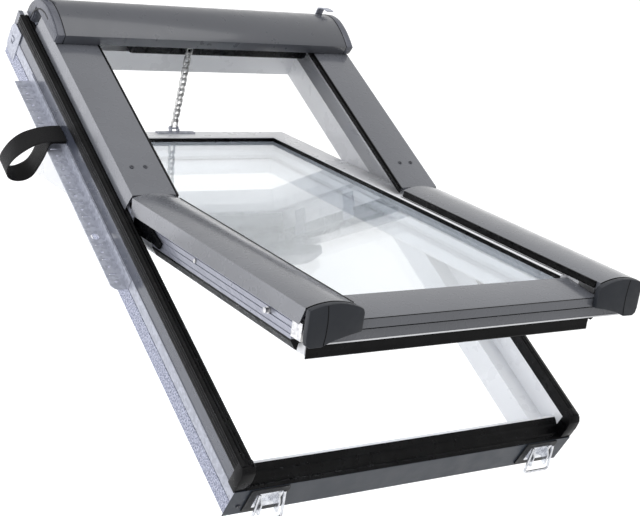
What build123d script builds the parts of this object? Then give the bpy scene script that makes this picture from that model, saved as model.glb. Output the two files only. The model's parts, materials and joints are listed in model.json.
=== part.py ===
from build123d import *
import math
import os

# Centre-pivot roof window in its own flat frame: X across the window, Y up the roof slope,
# Z outwards from the roof. Y = 0 is the pivot line at mid-length and Z = 0 is the underside
# of the frame. All lengths are millimetres. Each side piece is drawn for the right-hand side
# and mirrored for the left. The sash is drawn closed about the pivot axis and set open.

# Overall frame
FRAME_WIDTH = 740.0
FRAME_LENGTH = 1180.0
STILE_FACE = 56.0
RAIL_FACE = 46.0
LEDGE_HEIGHT = 52.0
UPSTAND = 20.0
RIDGE_HEIGHT = 111.5
SILL_HEIGHT = 79.0
SILL_EDGE = 5.0
CREASE_HEIGHT = 153.0
PIVOT_HEIGHT = 131.0
OPEN_ANGLE = 27.56

# Sheet thicknesses and clearances
SHEET = 1.3
COVER_SHEET = 1.5
CHANNEL_SHEET = 1.2
BRACKET_SHEET = 2.5
ANGLE_SHEET = 2.0
SEAT_GAP = 0.3
RUNNING_FIT = 0.05

# Outer side of the frame
FOAM_DEPTH = 14.0
FOAM_BOTTOM = 4.0
FOAM_TOP = 38.0
RAIL_BOTTOM = 40.0
RAIL_TOP = 62.0
BEAD = 1.0
UPSTAND_END = 14.0
COVER_HEIGHT = 64.0
COVER_LIP = 10.0

# Gaskets on the frame
GASKET_RISE = 5.5
GASKET_DROP = 15.5
GASKET_LIP = 2.4
SILL_GASKET = 3.6

# Upper side claddings and hood
CLADDING_INNER = 262.0
CREASE_X = 352.0
FLANK_SPLAY = 4.0
FLANK_DROP = 35.0
FRAME_CROWN = 1.5
INNER_RETURN = 7.0
CLADDING_START = 3.0
CLADDING_END = 520.0
HOOD_LIP_Y = 430.0
HOOD_LIP_BOTTOM = 155.5
HOOD_FOLD = 176.0
HOOD_TOP = 201.0
HOOD_ROUND = 75.0
HOOD_BACK_BOTTOM = 106.0
HOOD_HALF = 346.0
HOOD_CAP = 19.0

# Sash
SASH_HALF = 306.0
SASH_TOP_Y = 518.9
SASH_BOTTOM_Y = -534.9
PLATEAU = 5.7
SASH_UNDERSIDE = -90.0
OPENING_X = 245.0
OPENING_TOP_Y = 461.0
REBATE = 17.0
LIP_UNDERSIDE = -1.5
PANE_TOP = -3.5
OUTER_PANE = 4.0
SPACER = 16.0
INNER_PANE = 6.0
PANE_COVER = 13.0
PANE_PACKER = 1.6
PANE_BOTTOM_Y = -520.0
BEAD_DEPTH = 20.0
NOSE_RADIUS = 12.0

# Sash side profile and claddings
SIDE_OUTER = 332.0
SIDE_TOP = -14.0
SIDE_BOTTOM = -56.0
SIDE_START = -64.0
SIDE_END = -530.0
PLUG_END = -558.0
SASH_CREASE_X = 354.0
SASH_CREASE = 17.7
SASH_FLANK_BOTTOM = -12.8
SASH_CROWN = 8.3
SASH_CLADDING_START = -13.0
SASH_CLADDING_END = -587.7
CAP_FRONT = -600.0
CAP_INNER_X = 250.0
CAP_BLOCK_BOTTOM = -24.4
CAP_SKIRT_BOTTOM = -44.4
CAP_SEAM_X = 332.5
APRON_START = -508.0
APRON_FALL = 8.4
DRIP_FRONT = -579.0
DRIP_TOP = -30.0
DRIP_BOTTOM = -47.0

# Pivot
PIN_RADIUS = 6.0
HUB_RADIUS = 13.0
HINGE_PLATE = 3.5
HINGE_BASE_X = 343.5
DISC_GAP = 0.2

# Chain opener
ACTUATOR_LEFT = -118.0
ACTUATOR_RIGHT = 318.0
ACTUATOR_FRONT = 524.0
ACTUATOR_BACK = 567.0
ACTUATOR_BOTTOM = 60.0
ACTUATOR_TOP = 110.0
ACTUATOR_CAP = 4.0
CHAIN_X = 10.0
CHAIN_TOP_Z = 87.0
CHAIN_PITCH = 12.0
CHAIN_WIDTH = 14.0
CHAIN_PLATE = 1.6
LINK_RADIUS = 4.0
EYE_Y = 511.0
EYE_Z = 14.5

# Fixing hardware
ANGLE_LEG = 21.5
ANGLE_FLANGE = 32.0
ANGLE_TOP_Y = 451.0
ANGLE_LOW_Y = -120.0
ANGLE_PITCH = 18.4
ANGLE_HOLE = 3.0
ANGLE_SLOT = 15.0
ANGLE_BIG_HOLE = 8.0
BRACKET_LENGTH = 40.0
CLADDING_BRACKETS_Y = (76.0, 290.0, 490.0)
CLADDING_SCREWS_X = (297.0, 325.0)
COVER_SCREW_IN = 22.0
SIDE_SCREW_Y = -219.0
STUD_Y = -461.0
SIDE_SCREW_Z = -33.0
STRAP_Y = 264.0
STRAP_WIDTH = 44.0
STRIKER_X = 300.0
STRIKER_WIDTH = 64.0
WIRE_RADIUS = 2.6
SCREW_HEAD = 4.2
SCREW_SHANK = 1.9

# Places worked out from the sizes above
HALF_W = FRAME_WIDTH / 2
HALF_L = FRAME_LENGTH / 2
LINING_X = HALF_W - STILE_FACE
LINING_Y = HALF_L - RAIL_FACE
WALL_X = HALF_W - UPSTAND
WALL_Y = HALF_L - UPSTAND
BODY_END = HALF_L - COVER_SHEET
CHANNEL_X = HALF_W - BEAD
CORE_X = CHANNEL_X - CHANNEL_SHEET
FOAM_X = HALF_W - FOAM_DEPTH
UPSTAND_LOW = -HALF_L + UPSTAND_END
GASKET_TOP = RIDGE_HEIGHT + GASKET_RISE
FLANK_BOTTOM = CREASE_HEIGHT - FLANK_DROP
PANE_X = OPENING_X + PANE_COVER
PANE_TOP_Y = OPENING_TOP_Y + PANE_COVER
UNIT_BOTTOM = PANE_TOP - OUTER_PANE - SPACER - INNER_PANE
PANE_SEAT = UNIT_BOTTOM - PANE_PACKER
OPEN = Location((0, 0, PIVOT_HEIGHT)) * Location((0, 0, 0), (-OPEN_ANGLE, 0, 0))


def opened(plane):
    """A plane of the closed sash, measured from the pivot axis, carried to the open sash."""
    return Plane(OPEN * plane.location)


def section_at(y):
    """Plane of a cross-section at y: it draws x and z, and extrudes down the slope."""
    return Plane.XZ.offset(-y)


def side_view(x):
    """Plane of a side view at x: it draws y and z, and extrudes to the right."""
    return Plane.YZ.offset(x)


def opened_point(y, z):
    """Height and slope position in the frame of a point of the open sash."""
    c = math.cos(math.radians(OPEN_ANGLE))
    s = math.sin(math.radians(OPEN_ANGLE))
    return y * c + z * s, PIVOT_HEIGHT - y * s + z * c


def outline(points, radii=None):
    """Closed face through the points, with a corner radius where one is given."""
    with BuildLine() as border:
        if radii is None:
            Polyline(points, close=True)
        else:
            FilletPolyline(points, radius=radii, close=True)
    make_face(border.edges())


def slab(x0, x1, y0, y1):
    """Rectangle between two corners, drawn in the current sketch."""
    with Locations(((x0 + x1) / 2, (y0 + y1) / 2)):
        Rectangle(abs(x1 - x0), abs(y1 - y0))


def save(part, name):
    """Label a finished piece and write it under its own name."""
    part.label = name
    export_step(part, f"parts/{name}.step")


def save_pair(part, name):
    """Write a right-hand piece and its mirror image on the left."""
    save(part, f"{name}_right")
    save(part.mirror(Plane.YZ), f"{name}_left")


def save_both(part, name):
    """Write a right-hand piece and its mirror image together, as one group of solids."""
    with BuildPart() as both:
        add(part)
        mirror(about=Plane.YZ)
    save(both.part, name)


os.makedirs("parts", exist_ok=True)


# Fixed frame profiles

def frame_stile():
    """Side member: lining and ledge mitred into the rails, upstand run through."""
    with BuildPart() as stile:
        with BuildSketch(section_at(BODY_END)):
            slab(LINING_X, FOAM_X, 0, LEDGE_HEIGHT)
        extrude(amount=2 * BODY_END)
        with BuildSketch(Plane.XY):
            outline([(LINING_X, LINING_Y), (HALF_W, HALF_L), (HALF_W, -HALF_L), (LINING_X, -LINING_Y)])
        extrude(amount=LEDGE_HEIGHT, mode=Mode.INTERSECT)
        with BuildSketch(section_at(BODY_END)):
            outline([(WALL_X, LEDGE_HEIGHT), (FOAM_X, LEDGE_HEIGHT), (FOAM_X, RAIL_TOP + 0.5),
                     (CORE_X, RAIL_TOP + 0.5), (CORE_X, RIDGE_HEIGHT), (WALL_X, RIDGE_HEIGHT)])
        extrude(amount=BODY_END - UPSTAND_LOW)
        with BuildSketch(section_at(UPSTAND_LOW)):
            slab(WALL_X, FOAM_X, LEDGE_HEIGHT, RAIL_TOP)
        extrude(amount=BODY_END + UPSTAND_LOW)
    return stile.part


def frame_rail(end, top_profile):
    """Cross member: mitred below the ledge, and straight between the upstands above it."""
    with BuildPart() as rail:
        with BuildSketch(Plane.XY):
            outline([(LINING_X, end * LINING_Y), (HALF_W, end * HALF_L),
                     (-HALF_W, end * HALF_L), (-LINING_X, end * LINING_Y)])
        extrude(amount=LEDGE_HEIGHT)
        with BuildSketch(Plane.XY):
            slab(-FOAM_X, FOAM_X, end * LINING_Y, end * BODY_END)
        extrude(amount=LEDGE_HEIGHT, mode=Mode.INTERSECT)
        with BuildSketch(side_view(-WALL_X)):
            outline(top_profile)
        extrude(amount=2 * WALL_X)
    return rail.part


sill_slope_top = SILL_HEIGHT - SILL_GASKET
sill_inner = -LINING_Y - SILL_EDGE
sill_lip = -HALF_L + COVER_LIP
frame_top_profile = [(WALL_Y, LEDGE_HEIGHT), (BODY_END, LEDGE_HEIGHT),
                     (BODY_END, RIDGE_HEIGHT), (WALL_Y, RIDGE_HEIGHT)]
frame_sill_profile = [(-LINING_Y, LEDGE_HEIGHT), (-LINING_Y, SILL_HEIGHT - 1), (sill_inner, SILL_HEIGHT),
                      (sill_inner, sill_slope_top), (sill_lip, COVER_HEIGHT - COVER_SHEET),
                      (-BODY_END, COVER_HEIGHT - COVER_SHEET), (-BODY_END, LEDGE_HEIGHT)]
save_pair(frame_stile(), "frame_stile")
save(frame_rail(1, frame_top_profile), "frame_top_rail")
save(frame_rail(-1, frame_sill_profile), "frame_bottom_rail")


# Outer side of the frame

def insulation():
    """Foam strip let into the side, with a chamfered outer edge."""
    with BuildPart() as foam:
        with BuildSketch(section_at(BODY_END)):
            outline([(FOAM_X, FOAM_BOTTOM), (HALF_W - 2, FOAM_BOTTOM), (HALF_W, FOAM_BOTTOM + 2),
                     (HALF_W, FOAM_TOP), (FOAM_X, FOAM_TOP)])
        extrude(amount=2 * BODY_END)
    return foam.part


def side_rail():
    """Galvanised channel folded from sheet, open towards the frame."""
    with BuildPart() as rail:
        with BuildSketch(section_at(BODY_END)):
            outline([(FOAM_X, RAIL_BOTTOM), (HALF_W, RAIL_BOTTOM), (HALF_W, RAIL_TOP), (FOAM_X, RAIL_TOP),
                     (FOAM_X, RAIL_TOP - COVER_SHEET), (HALF_W - COVER_SHEET, RAIL_TOP - COVER_SHEET),
                     (HALF_W - COVER_SHEET, RAIL_BOTTOM + COVER_SHEET),
                     (FOAM_X, RAIL_BOTTOM + COVER_SHEET)])
        extrude(amount=2 * BODY_END)
    return rail.part


def side_channel():
    """Aluminium channel over the upstand, beaded along its foot and cut back at the lower end."""
    foot = RAIL_TOP + 0.5
    top = RIDGE_HEIGHT + CHANNEL_SHEET
    hook = WALL_X + UPSTAND / 2
    with BuildPart() as channel:
        with BuildSketch(section_at(BODY_END)):
            outline([(CORE_X, foot), (HALF_W, foot), (HALF_W, foot + CHANNEL_SHEET),
                     (CHANNEL_X, foot + 2 * CHANNEL_SHEET), (CHANNEL_X, top), (hook, top),
                     (hook, RIDGE_HEIGHT), (CORE_X, RIDGE_HEIGHT)])
        extrude(amount=BODY_END - UPSTAND_LOW)
        with BuildSketch(side_view(0)):
            outline([(UPSTAND_LOW - 1, foot - 1), (UPSTAND_LOW + UPSTAND_END, foot - 1),
                     (UPSTAND_LOW, top), (UPSTAND_LOW - 1, top)])
        extrude(amount=HALF_W + 1, mode=Mode.SUBTRACT)
    return channel.part


save_both(insulation(), "insulation_strips")
save_both(side_rail(), "side_rails")
save_pair(side_channel(), "side_channel")

with BuildPart() as front_cover:
    with BuildSketch(side_view(-HALF_W)):
        outline([(-HALF_L, 0), (-HALF_L, COVER_HEIGHT), (sill_lip, COVER_HEIGHT),
                 (sill_lip, COVER_HEIGHT - COVER_SHEET), (-BODY_END, COVER_HEIGHT - COVER_SHEET), (-BODY_END, 0)])
    extrude(amount=FRAME_WIDTH)
    with BuildSketch(side_view(-HALF_W)):
        slab(-BODY_END, sill_lip, 0, COVER_HEIGHT)
    extrude(amount=HALF_W - FOAM_X, mode=Mode.SUBTRACT)
    with BuildSketch(side_view(FOAM_X)):
        slab(-BODY_END, sill_lip, 0, COVER_HEIGHT)
    extrude(amount=HALF_W - FOAM_X, mode=Mode.SUBTRACT)
    with BuildSketch(section_at(-BODY_END)):
        with Locations((HALF_W - COVER_SCREW_IN, COVER_SCREW_IN), (COVER_SCREW_IN - HALF_W, COVER_SCREW_IN)):
            Circle(SCREW_SHANK + RUNNING_FIT)
    extrude(amount=COVER_SHEET, mode=Mode.SUBTRACT)
save(front_cover.part, "front_cover")


# Frame gaskets

def ribbed_section(wall, outer):
    """Points of the ridge gasket: inner skirt, lip, two ribs and an outer edge."""
    width = outer - wall
    skirt = RIDGE_HEIGHT - GASKET_DROP
    top = GASKET_TOP
    crest = [(0.12, top), (0.22, top - 2.2), (0.34, top - 0.5), (0.48, top - 0.5), (0.58, top - 2.6),
             (0.70, top - 1.2), (0.82, top - 1.6)]
    return ([(wall, skirt), (wall - 1.8, skirt + 1), (wall - GASKET_LIP, RIDGE_HEIGHT),
             (wall - 1, top - 0.5)]
            + [(wall + share * width, height) for share, height in crest]
            + [(outer, RIDGE_HEIGHT + 1.6), (outer, RIDGE_HEIGHT + CHANNEL_SHEET)])


def frame_side_gasket():
    """Black ribbed gasket hooked over the ridge of the upstand and its channel."""
    hook = WALL_X + UPSTAND / 2
    with BuildPart() as gasket:
        with BuildSketch(section_at(WALL_Y)):
            outline(ribbed_section(WALL_X, CHANNEL_X + 0.4)
                    + [(hook, RIDGE_HEIGHT + CHANNEL_SHEET), (hook, RIDGE_HEIGHT), (WALL_X, RIDGE_HEIGHT)])
        extrude(amount=WALL_Y - UPSTAND_LOW)
    return gasket.part


save_pair(frame_side_gasket(), "frame_gasket")

with BuildPart() as frame_gasket_top:
    with BuildSketch(side_view(-WALL_X + GASKET_LIP + 0.4)):
        top_edge = BODY_END - COVER_SHEET
        outline(ribbed_section(WALL_Y, top_edge)[:-1] + [(top_edge, RIDGE_HEIGHT), (WALL_Y, RIDGE_HEIGHT)])
    extrude(amount=2 * (WALL_X - GASKET_LIP - 0.4))
save(frame_gasket_top.part, "frame_gasket_top")

with BuildPart() as frame_gasket_bottom:
    run = sill_inner - sill_lip
    rise = sill_slope_top - (COVER_HEIGHT - COVER_SHEET)
    crest = [(0.02, 2.2), (0.10, 3.4), (0.20, 2.6), (0.34, 3.8), (0.52, 3.8), (0.62, 2.6), (0.74, 3.6), (0.9, 3.6)]
    sill_points = [(sill_inner, sill_slope_top), (sill_lip, COVER_HEIGHT), (-HALF_L + 0.6, COVER_HEIGHT),
                   (-HALF_L + 0.6, COVER_HEIGHT + 1.2), (sill_lip - 4, COVER_HEIGHT + 2.4)]
    for share, lift in crest:
        sill_points.append((sill_lip + share * run, COVER_HEIGHT - COVER_SHEET + share * rise + lift))
    sill_points.append((sill_inner, SILL_HEIGHT - 0.6))
    with BuildSketch(side_view(-WALL_X + 0.5)):
        outline(sill_points)
    extrude(amount=2 * (WALL_X - 0.5))
save(frame_gasket_bottom.part, "frame_gasket_bottom")

with BuildPart() as gasket_corners:
    with BuildSketch(side_view(WALL_X)):
        outline([(UPSTAND_LOW, COVER_HEIGHT), (UPSTAND_LOW, GASKET_TOP - 0.5), (UPSTAND_LOW - 3, GASKET_TOP - 2),
                 (-HALF_L + 4, 92), (-BODY_END, COVER_HEIGHT + 4), (-BODY_END, COVER_HEIGHT)],
                radii=[0, 0, 2, 6, 1, 0])
    extrude(amount=CHANNEL_X - WALL_X)
    mirror(about=Plane.YZ)
save(gasket_corners.part, "gasket_corners")


# Upper side claddings

def cladding_sheet(crease_x, crease_z, flank_x, flank_z, crown, return_drop):
    """Folded side cladding: flank, crowned top and inner return with a turned foot."""
    middle = (crease_x + CLADDING_INNER) / 2
    with BuildLine() as fold:
        Line((flank_x, flank_z), (crease_x, crease_z))
        ThreePointArc((crease_x, crease_z), (middle, crease_z + crown), (CLADDING_INNER, crease_z))
        Polyline((CLADDING_INNER, crease_z), (CLADDING_INNER, crease_z - return_drop),
                 (CLADDING_INNER + 8, crease_z - return_drop))
        offset(amount=SHEET, side=Side.LEFT)
    make_face(fold.edges())


def frame_cladding():
    """Upper side cladding, from just above the pivot to under the hood."""
    with BuildPart() as cladding:
        with BuildSketch(section_at(CLADDING_END)):
            cladding_sheet(CREASE_X, CREASE_HEIGHT, CREASE_X + FLANK_SPLAY, FLANK_BOTTOM,
                           FRAME_CROWN, INNER_RETURN)
        extrude(amount=CLADDING_END - CLADDING_START)
        with BuildSketch(Plane.XY.offset(CREASE_HEIGHT - 4)):
            with Locations([(x, CLADDING_BRACKETS_Y[0]) for x in CLADDING_SCREWS_X]):
                Circle(SCREW_SHANK + RUNNING_FIT)
        extrude(amount=4 + 2 * FRAME_CROWN, mode=Mode.SUBTRACT)
    return cladding.part


save_pair(frame_cladding(), "frame_cladding")


def cladding_seal():
    """Black lip seal clipped to the inner edge of the upper cladding."""
    top = CREASE_HEIGHT - INNER_RETURN
    tip = PIVOT_HEIGHT + PLATEAU + 0.6
    with BuildPart() as seal:
        with BuildSketch(section_at(CLADDING_END - 4)):
            outline([(CLADDING_INNER - 1.6, top + 3), (CLADDING_INNER, top + 3), (CLADDING_INNER, top),
                     (CLADDING_INNER + 8, top), (CLADDING_INNER + 8, top - 3), (CLADDING_INNER + 4, top - 4),
                     (CLADDING_INNER + 3, tip), (CLADDING_INNER + 1, tip), (CLADDING_INNER - 1.6, top - 3)])
        extrude(amount=CLADDING_END - 4 - CLADDING_START - 2)
    return seal.part


save_both(cladding_seal(), "cladding_seals")

bracket_wall = WALL_X - BRACKET_SHEET
bracket_riser = WALL_X - GASKET_LIP - 0.6 - 2 * BRACKET_SHEET
bracket_top = CREASE_HEIGHT - SHEET
with BuildPart() as cladding_brackets:
    for y in CLADDING_BRACKETS_Y:
        with BuildSketch(section_at(y + BRACKET_LENGTH / 2)):
            with BuildLine():
                Polyline((WALL_X, 60), (WALL_X, 92), (bracket_riser + BRACKET_SHEET, 97),
                         (bracket_riser + BRACKET_SHEET, bracket_top), (CLADDING_INNER + 20, bracket_top))
                offset(amount=BRACKET_SHEET, side=Side.LEFT, kind=Kind.INTERSECTION)
            make_face()
        extrude(amount=BRACKET_LENGTH)
    with BuildSketch(Plane.XY.offset(bracket_top - 2 * BRACKET_SHEET)):
        with Locations([(x, CLADDING_BRACKETS_Y[0]) for x in CLADDING_SCREWS_X]):
            Circle(SCREW_SHANK + RUNNING_FIT)
    extrude(amount=3 * BRACKET_SHEET, mode=Mode.SUBTRACT)
    mirror(about=Plane.YZ)
save(cladding_brackets.part, "cladding_brackets")


# Hood

hood_centre_y = HALF_L - HOOD_ROUND
hood_centre_z = HOOD_TOP - HOOD_ROUND
arc_mid_y = hood_centre_y + HOOD_ROUND * math.cos(math.radians(45))
arc_mid_z = hood_centre_z + HOOD_ROUND * math.sin(math.radians(45))

with BuildPart() as hood:
    with BuildSketch(side_view(-HOOD_HALF)):
        with BuildLine():
            Polyline((HOOD_LIP_Y + 9, HOOD_LIP_BOTTOM), (HOOD_LIP_Y, HOOD_LIP_BOTTOM), (HOOD_LIP_Y, HOOD_FOLD))
            ThreePointArc((HOOD_LIP_Y, HOOD_FOLD), (HOOD_LIP_Y + 42, HOOD_FOLD + 15.5), (hood_centre_y, HOOD_TOP))
            ThreePointArc((hood_centre_y, HOOD_TOP), (arc_mid_y, arc_mid_z), (HALF_L, hood_centre_z))
            Line((HALF_L, hood_centre_z), (HALF_L, HOOD_BACK_BOTTOM))
            offset(amount=COVER_SHEET, side=Side.RIGHT)
        make_face()
    extrude(amount=2 * HOOD_HALF)
save(hood.part, "hood")


def hood_cap_outline():
    """Side outline of the hood end cap, with its foot over the top corner of the frame."""
    base = HOOD_LIP_BOTTOM
    foot = GASKET_TOP + 1
    with BuildLine() as border:
        Line((HOOD_LIP_Y + 1, base), (HOOD_LIP_Y + 1, HOOD_FOLD))
        ThreePointArc((HOOD_LIP_Y + 1, HOOD_FOLD), (HOOD_LIP_Y + 42, HOOD_FOLD + 15.5), (hood_centre_y, HOOD_TOP))
        ThreePointArc((hood_centre_y, HOOD_TOP), (arc_mid_y, arc_mid_z), (HALF_L, hood_centre_z))
        Polyline((HALF_L, hood_centre_z), (HALF_L, foot), (CLADDING_END + 24, foot),
                 (CLADDING_END + 24, base), (HOOD_LIP_Y + 1, base))
    make_face(border.edges())


def hood_cap():
    """Moulded end cap: quarter-round cheek with a stepped edge and a seam groove."""
    step = 3
    with BuildPart() as cap:
        with BuildSketch(side_view(HOOD_HALF)):
            hood_cap_outline()
        extrude(amount=HOOD_CAP - step)
        with BuildSketch(side_view(HOOD_HALF + HOOD_CAP - step)):
            hood_cap_outline()
            offset(amount=-1.6, kind=Kind.INTERSECTION, mode=Mode.REPLACE)
        extrude(amount=step)
        with BuildSketch(side_view(HOOD_HALF + HOOD_CAP)):
            with Locations((hood_centre_y - 8, hood_centre_z - 14)):
                Circle(HOOD_ROUND - 13)
                Circle(HOOD_ROUND - 14.4, mode=Mode.SUBTRACT)
            with Locations((hood_centre_y - 8 + HOOD_ROUND, hood_centre_z - 14 + HOOD_ROUND)):
                Rectangle(2 * HOOD_ROUND, 2 * HOOD_ROUND, mode=Mode.INTERSECT)
        extrude(amount=-1, mode=Mode.SUBTRACT)
    return cap.part


save_pair(hood_cap(), "hood_cap")

hood_inner = HOOD_ROUND - COVER_SHEET
with BuildPart() as hood_brackets:
    riser_y = WALL_Y - GASKET_LIP - 0.6 - BRACKET_SHEET
    bracket_angles = (math.asin(min(1, (riser_y - hood_centre_y) / hood_inner)), math.radians(12))
    with BuildSketch(side_view(WALL_X - GASKET_LIP - BRACKET_LENGTH / 2)):
        with BuildLine():
            reach = [(hood_centre_y + hood_inner * math.sin(a), hood_centre_z + hood_inner * math.cos(a))
                     for a in (bracket_angles[0], sum(bracket_angles) / 2, bracket_angles[1])]
            Polyline((WALL_Y, 60), (WALL_Y, 92), (riser_y + BRACKET_SHEET, 97), (riser_y, 100), reach[0])
            ThreePointArc(*reach)
            offset(amount=BRACKET_SHEET, side=Side.LEFT)
        make_face()
    extrude(amount=BRACKET_LENGTH / 2 - GASKET_LIP)
    mirror(about=Plane.YZ)
save(hood_brackets.part, "hood_brackets")


# Sash profiles, drawn closed about the pivot axis

def sash_section(edge, opening, grows):
    """Sash profile from its outer edge to the opening, with lip, glazing rebate and rounded nose."""
    inner = opening + grows * REBATE
    return ([(edge - grows * 6, PLATEAU), (opening + grows, PLATEAU), (opening, PLATEAU - 1),
             (opening, LIP_UNDERSIDE), (inner, LIP_UNDERSIDE), (inner, PANE_SEAT - BEAD_DEPTH),
             (opening + grows * 7, PANE_SEAT - BEAD_DEPTH - 4), (opening + grows * 5, SASH_UNDERSIDE + 6),
             (opening + grows * 11, SASH_UNDERSIDE), (edge, SASH_UNDERSIDE), (edge, 0)],
            [2, 0, 0, 0, 0, 0, 3, 3, 3, NOSE_RADIUS, 2])


def sash_stile():
    """Sash side member, mitred at the top; its outer lip stops where the apron covers the glass."""
    points, radii = sash_section(SASH_HALF, OPENING_X, 1)
    apron_top = PLATEAU + 1
    with BuildPart() as stile:
        with BuildSketch(opened(section_at(SASH_TOP_Y))):
            outline(points, radii)
        extrude(amount=SASH_TOP_Y - SASH_BOTTOM_Y)
        with BuildSketch(opened(Plane.XY.offset(SASH_UNDERSIDE))):
            outline([(OPENING_X, OPENING_TOP_Y), (SASH_HALF, SASH_TOP_Y), (SASH_HALF, SASH_BOTTOM_Y),
                     (OPENING_X, SASH_BOTTOM_Y)])
        extrude(amount=PLATEAU - SASH_UNDERSIDE, mode=Mode.INTERSECT)
        with BuildSketch(opened(Plane.XY.offset(PANE_TOP - 6))):
            slab(OPENING_X - 1, CLADDING_INNER + 1, SASH_BOTTOM_Y, APRON_START + 1)
        extrude(amount=apron_top - PANE_TOP + 6, mode=Mode.SUBTRACT)
    return stile.part


stile_right = sash_stile()
save_pair(stile_right, "sash_stile")

with BuildPart() as sash_top_rail:
    rail_points, rail_radii = sash_section(SASH_TOP_Y, OPENING_TOP_Y, 1)
    with BuildSketch(opened(side_view(-SASH_HALF))):
        outline(rail_points, rail_radii)
    extrude(amount=2 * SASH_HALF)
    with BuildSketch(opened(Plane.XY.offset(SASH_UNDERSIDE))):
        outline([(-OPENING_X, OPENING_TOP_Y), (-SASH_HALF, SASH_TOP_Y), (SASH_HALF, SASH_TOP_Y),
                 (OPENING_X, OPENING_TOP_Y)])
    extrude(amount=PLATEAU - SASH_UNDERSIDE, mode=Mode.INTERSECT)
save(sash_top_rail.part, "sash_top_rail")

rail_inner_y = PANE_BOTTOM_Y + 30
bead_y = rail_inner_y + REBATE
stile_inner_x = OPENING_X + REBATE
with BuildPart() as sash_bottom_rail:
    with BuildSketch(opened(side_view(-stile_inner_x))):
        outline([(SASH_BOTTOM_Y, PANE_SEAT), (rail_inner_y, PANE_SEAT), (rail_inner_y, PANE_SEAT - BEAD_DEPTH),
                 (rail_inner_y + 10, PANE_SEAT - BEAD_DEPTH - 4), (rail_inner_y + 12, SASH_UNDERSIDE + 6),
                 (rail_inner_y + 6, SASH_UNDERSIDE), (SASH_BOTTOM_Y, SASH_UNDERSIDE)],
                radii=[0, 0, 0, 3, 3, 3, 2])
    extrude(amount=2 * stile_inner_x)
    add(stile_right, mode=Mode.SUBTRACT)
    add(stile_right.mirror(Plane.YZ), mode=Mode.SUBTRACT)
save(sash_bottom_rail.part, "sash_bottom_rail")


# Glass unit

def pane(top, thickness, inset):
    """One pane of the sealed unit."""
    with BuildPart() as sheet:
        with BuildSketch(opened(Plane.XY.offset(top - thickness))):
            slab(-PANE_X + inset, PANE_X - inset, PANE_BOTTOM_Y + inset, PANE_TOP_Y - inset)
        extrude(amount=thickness)
    return sheet.part


save(pane(PANE_TOP, OUTER_PANE, 0), "outer_pane")
save(pane(PANE_TOP - OUTER_PANE - SPACER, INNER_PANE, 0), "inner_pane")

with BuildPart() as pane_spacer:
    seal_width = PANE_COVER - 1.5
    with BuildSketch(opened(Plane.XY.offset(PANE_TOP - OUTER_PANE - SPACER))):
        slab(-PANE_X + 0.5, PANE_X - 0.5, PANE_BOTTOM_Y + 0.5, PANE_TOP_Y - 0.5)
        with Locations((0, (PANE_BOTTOM_Y + PANE_TOP_Y) / 2)):
            Rectangle(2 * (PANE_X - seal_width), PANE_TOP_Y - PANE_BOTTOM_Y - 2 * seal_width,
                      mode=Mode.SUBTRACT)
    extrude(amount=SPACER)
save(pane_spacer.part, "pane_spacer")

with BuildPart() as glazing_gasket:
    lip = 1.6
    with BuildSketch(opened(Plane.XY.offset(PANE_TOP))):
        slab(-PANE_X, PANE_X, APRON_START - 10, PANE_TOP_Y)
        slab(-OPENING_X + lip, OPENING_X - lip, APRON_START, OPENING_TOP_Y - lip)
    extrude(amount=LIP_UNDERSIDE - PANE_TOP)
    with BuildSketch(opened(Plane.XY.offset(PANE_TOP))):
        slab(-OPENING_X, OPENING_X, APRON_START + 1, OPENING_TOP_Y)
    extrude(amount=PLATEAU - 1.5 - PANE_TOP)
    with BuildSketch(opened(Plane.XY.offset(PANE_TOP))):
        slab(-OPENING_X + lip, OPENING_X - lip, APRON_START + 0.5, OPENING_TOP_Y - lip)
    extrude(amount=PLATEAU - PANE_TOP, mode=Mode.SUBTRACT)
save(glazing_gasket.part, "glazing_gasket")

with BuildPart() as glazing_bead:
    bead_low = PANE_SEAT - BEAD_DEPTH
    outer_half = OPENING_X + REBATE
    outer_top = OPENING_TOP_Y + REBATE
    with BuildSketch(opened(Plane.XY.offset(bead_low))):
        slab(-outer_half, outer_half, rail_inner_y, outer_top)
        with Locations((0, (bead_y + OPENING_TOP_Y) / 2)):
            Rectangle(2 * OPENING_X, OPENING_TOP_Y - bead_y, mode=Mode.SUBTRACT)
    extrude(amount=BEAD_DEPTH)
    with BuildSketch(opened(Plane.XY.offset(PANE_SEAT))):
        slab(-PANE_X, PANE_X, PANE_BOTTOM_Y + 32, PANE_TOP_Y)
        with Locations((0, (bead_y + OPENING_TOP_Y) / 2)):
            Rectangle(2 * (OPENING_X + 2), OPENING_TOP_Y - bead_y + 4, mode=Mode.SUBTRACT)
    extrude(amount=UNIT_BOTTOM - PANE_SEAT)
save(glazing_bead.part, "glazing_bead")


# Sash side profiles, gaskets and claddings

def sash_side():
    """Grooved side profile of the sash, below the cladding."""
    points = [(SASH_HALF, SIDE_TOP), (SIDE_OUTER - 2, SIDE_TOP), (SIDE_OUTER, SIDE_TOP - 2)]
    for groove in (SIDE_TOP - 11, SIDE_TOP - 21, SIDE_TOP - 32):
        points += [(SIDE_OUTER, groove), (SIDE_OUTER - 1.4, groove - 1), (SIDE_OUTER - 1.4, groove - 2.5),
                   (SIDE_OUTER, groove - 3.5)]
    points += [(SIDE_OUTER, SIDE_BOTTOM), (SASH_HALF, SIDE_BOTTOM)]
    with BuildPart() as side:
        with BuildSketch(opened(section_at(SIDE_START))):
            outline(points)
        extrude(amount=SIDE_START - SIDE_END)
        with BuildSketch(opened(side_view(SIDE_OUTER))):
            with Locations((SIDE_SCREW_Y, SIDE_SCREW_Z)):
                Circle(SCREW_SHANK + RUNNING_FIT)
        extrude(amount=-8, mode=Mode.SUBTRACT)
    return side.part


save_pair(sash_side(), "sash_side")

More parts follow.
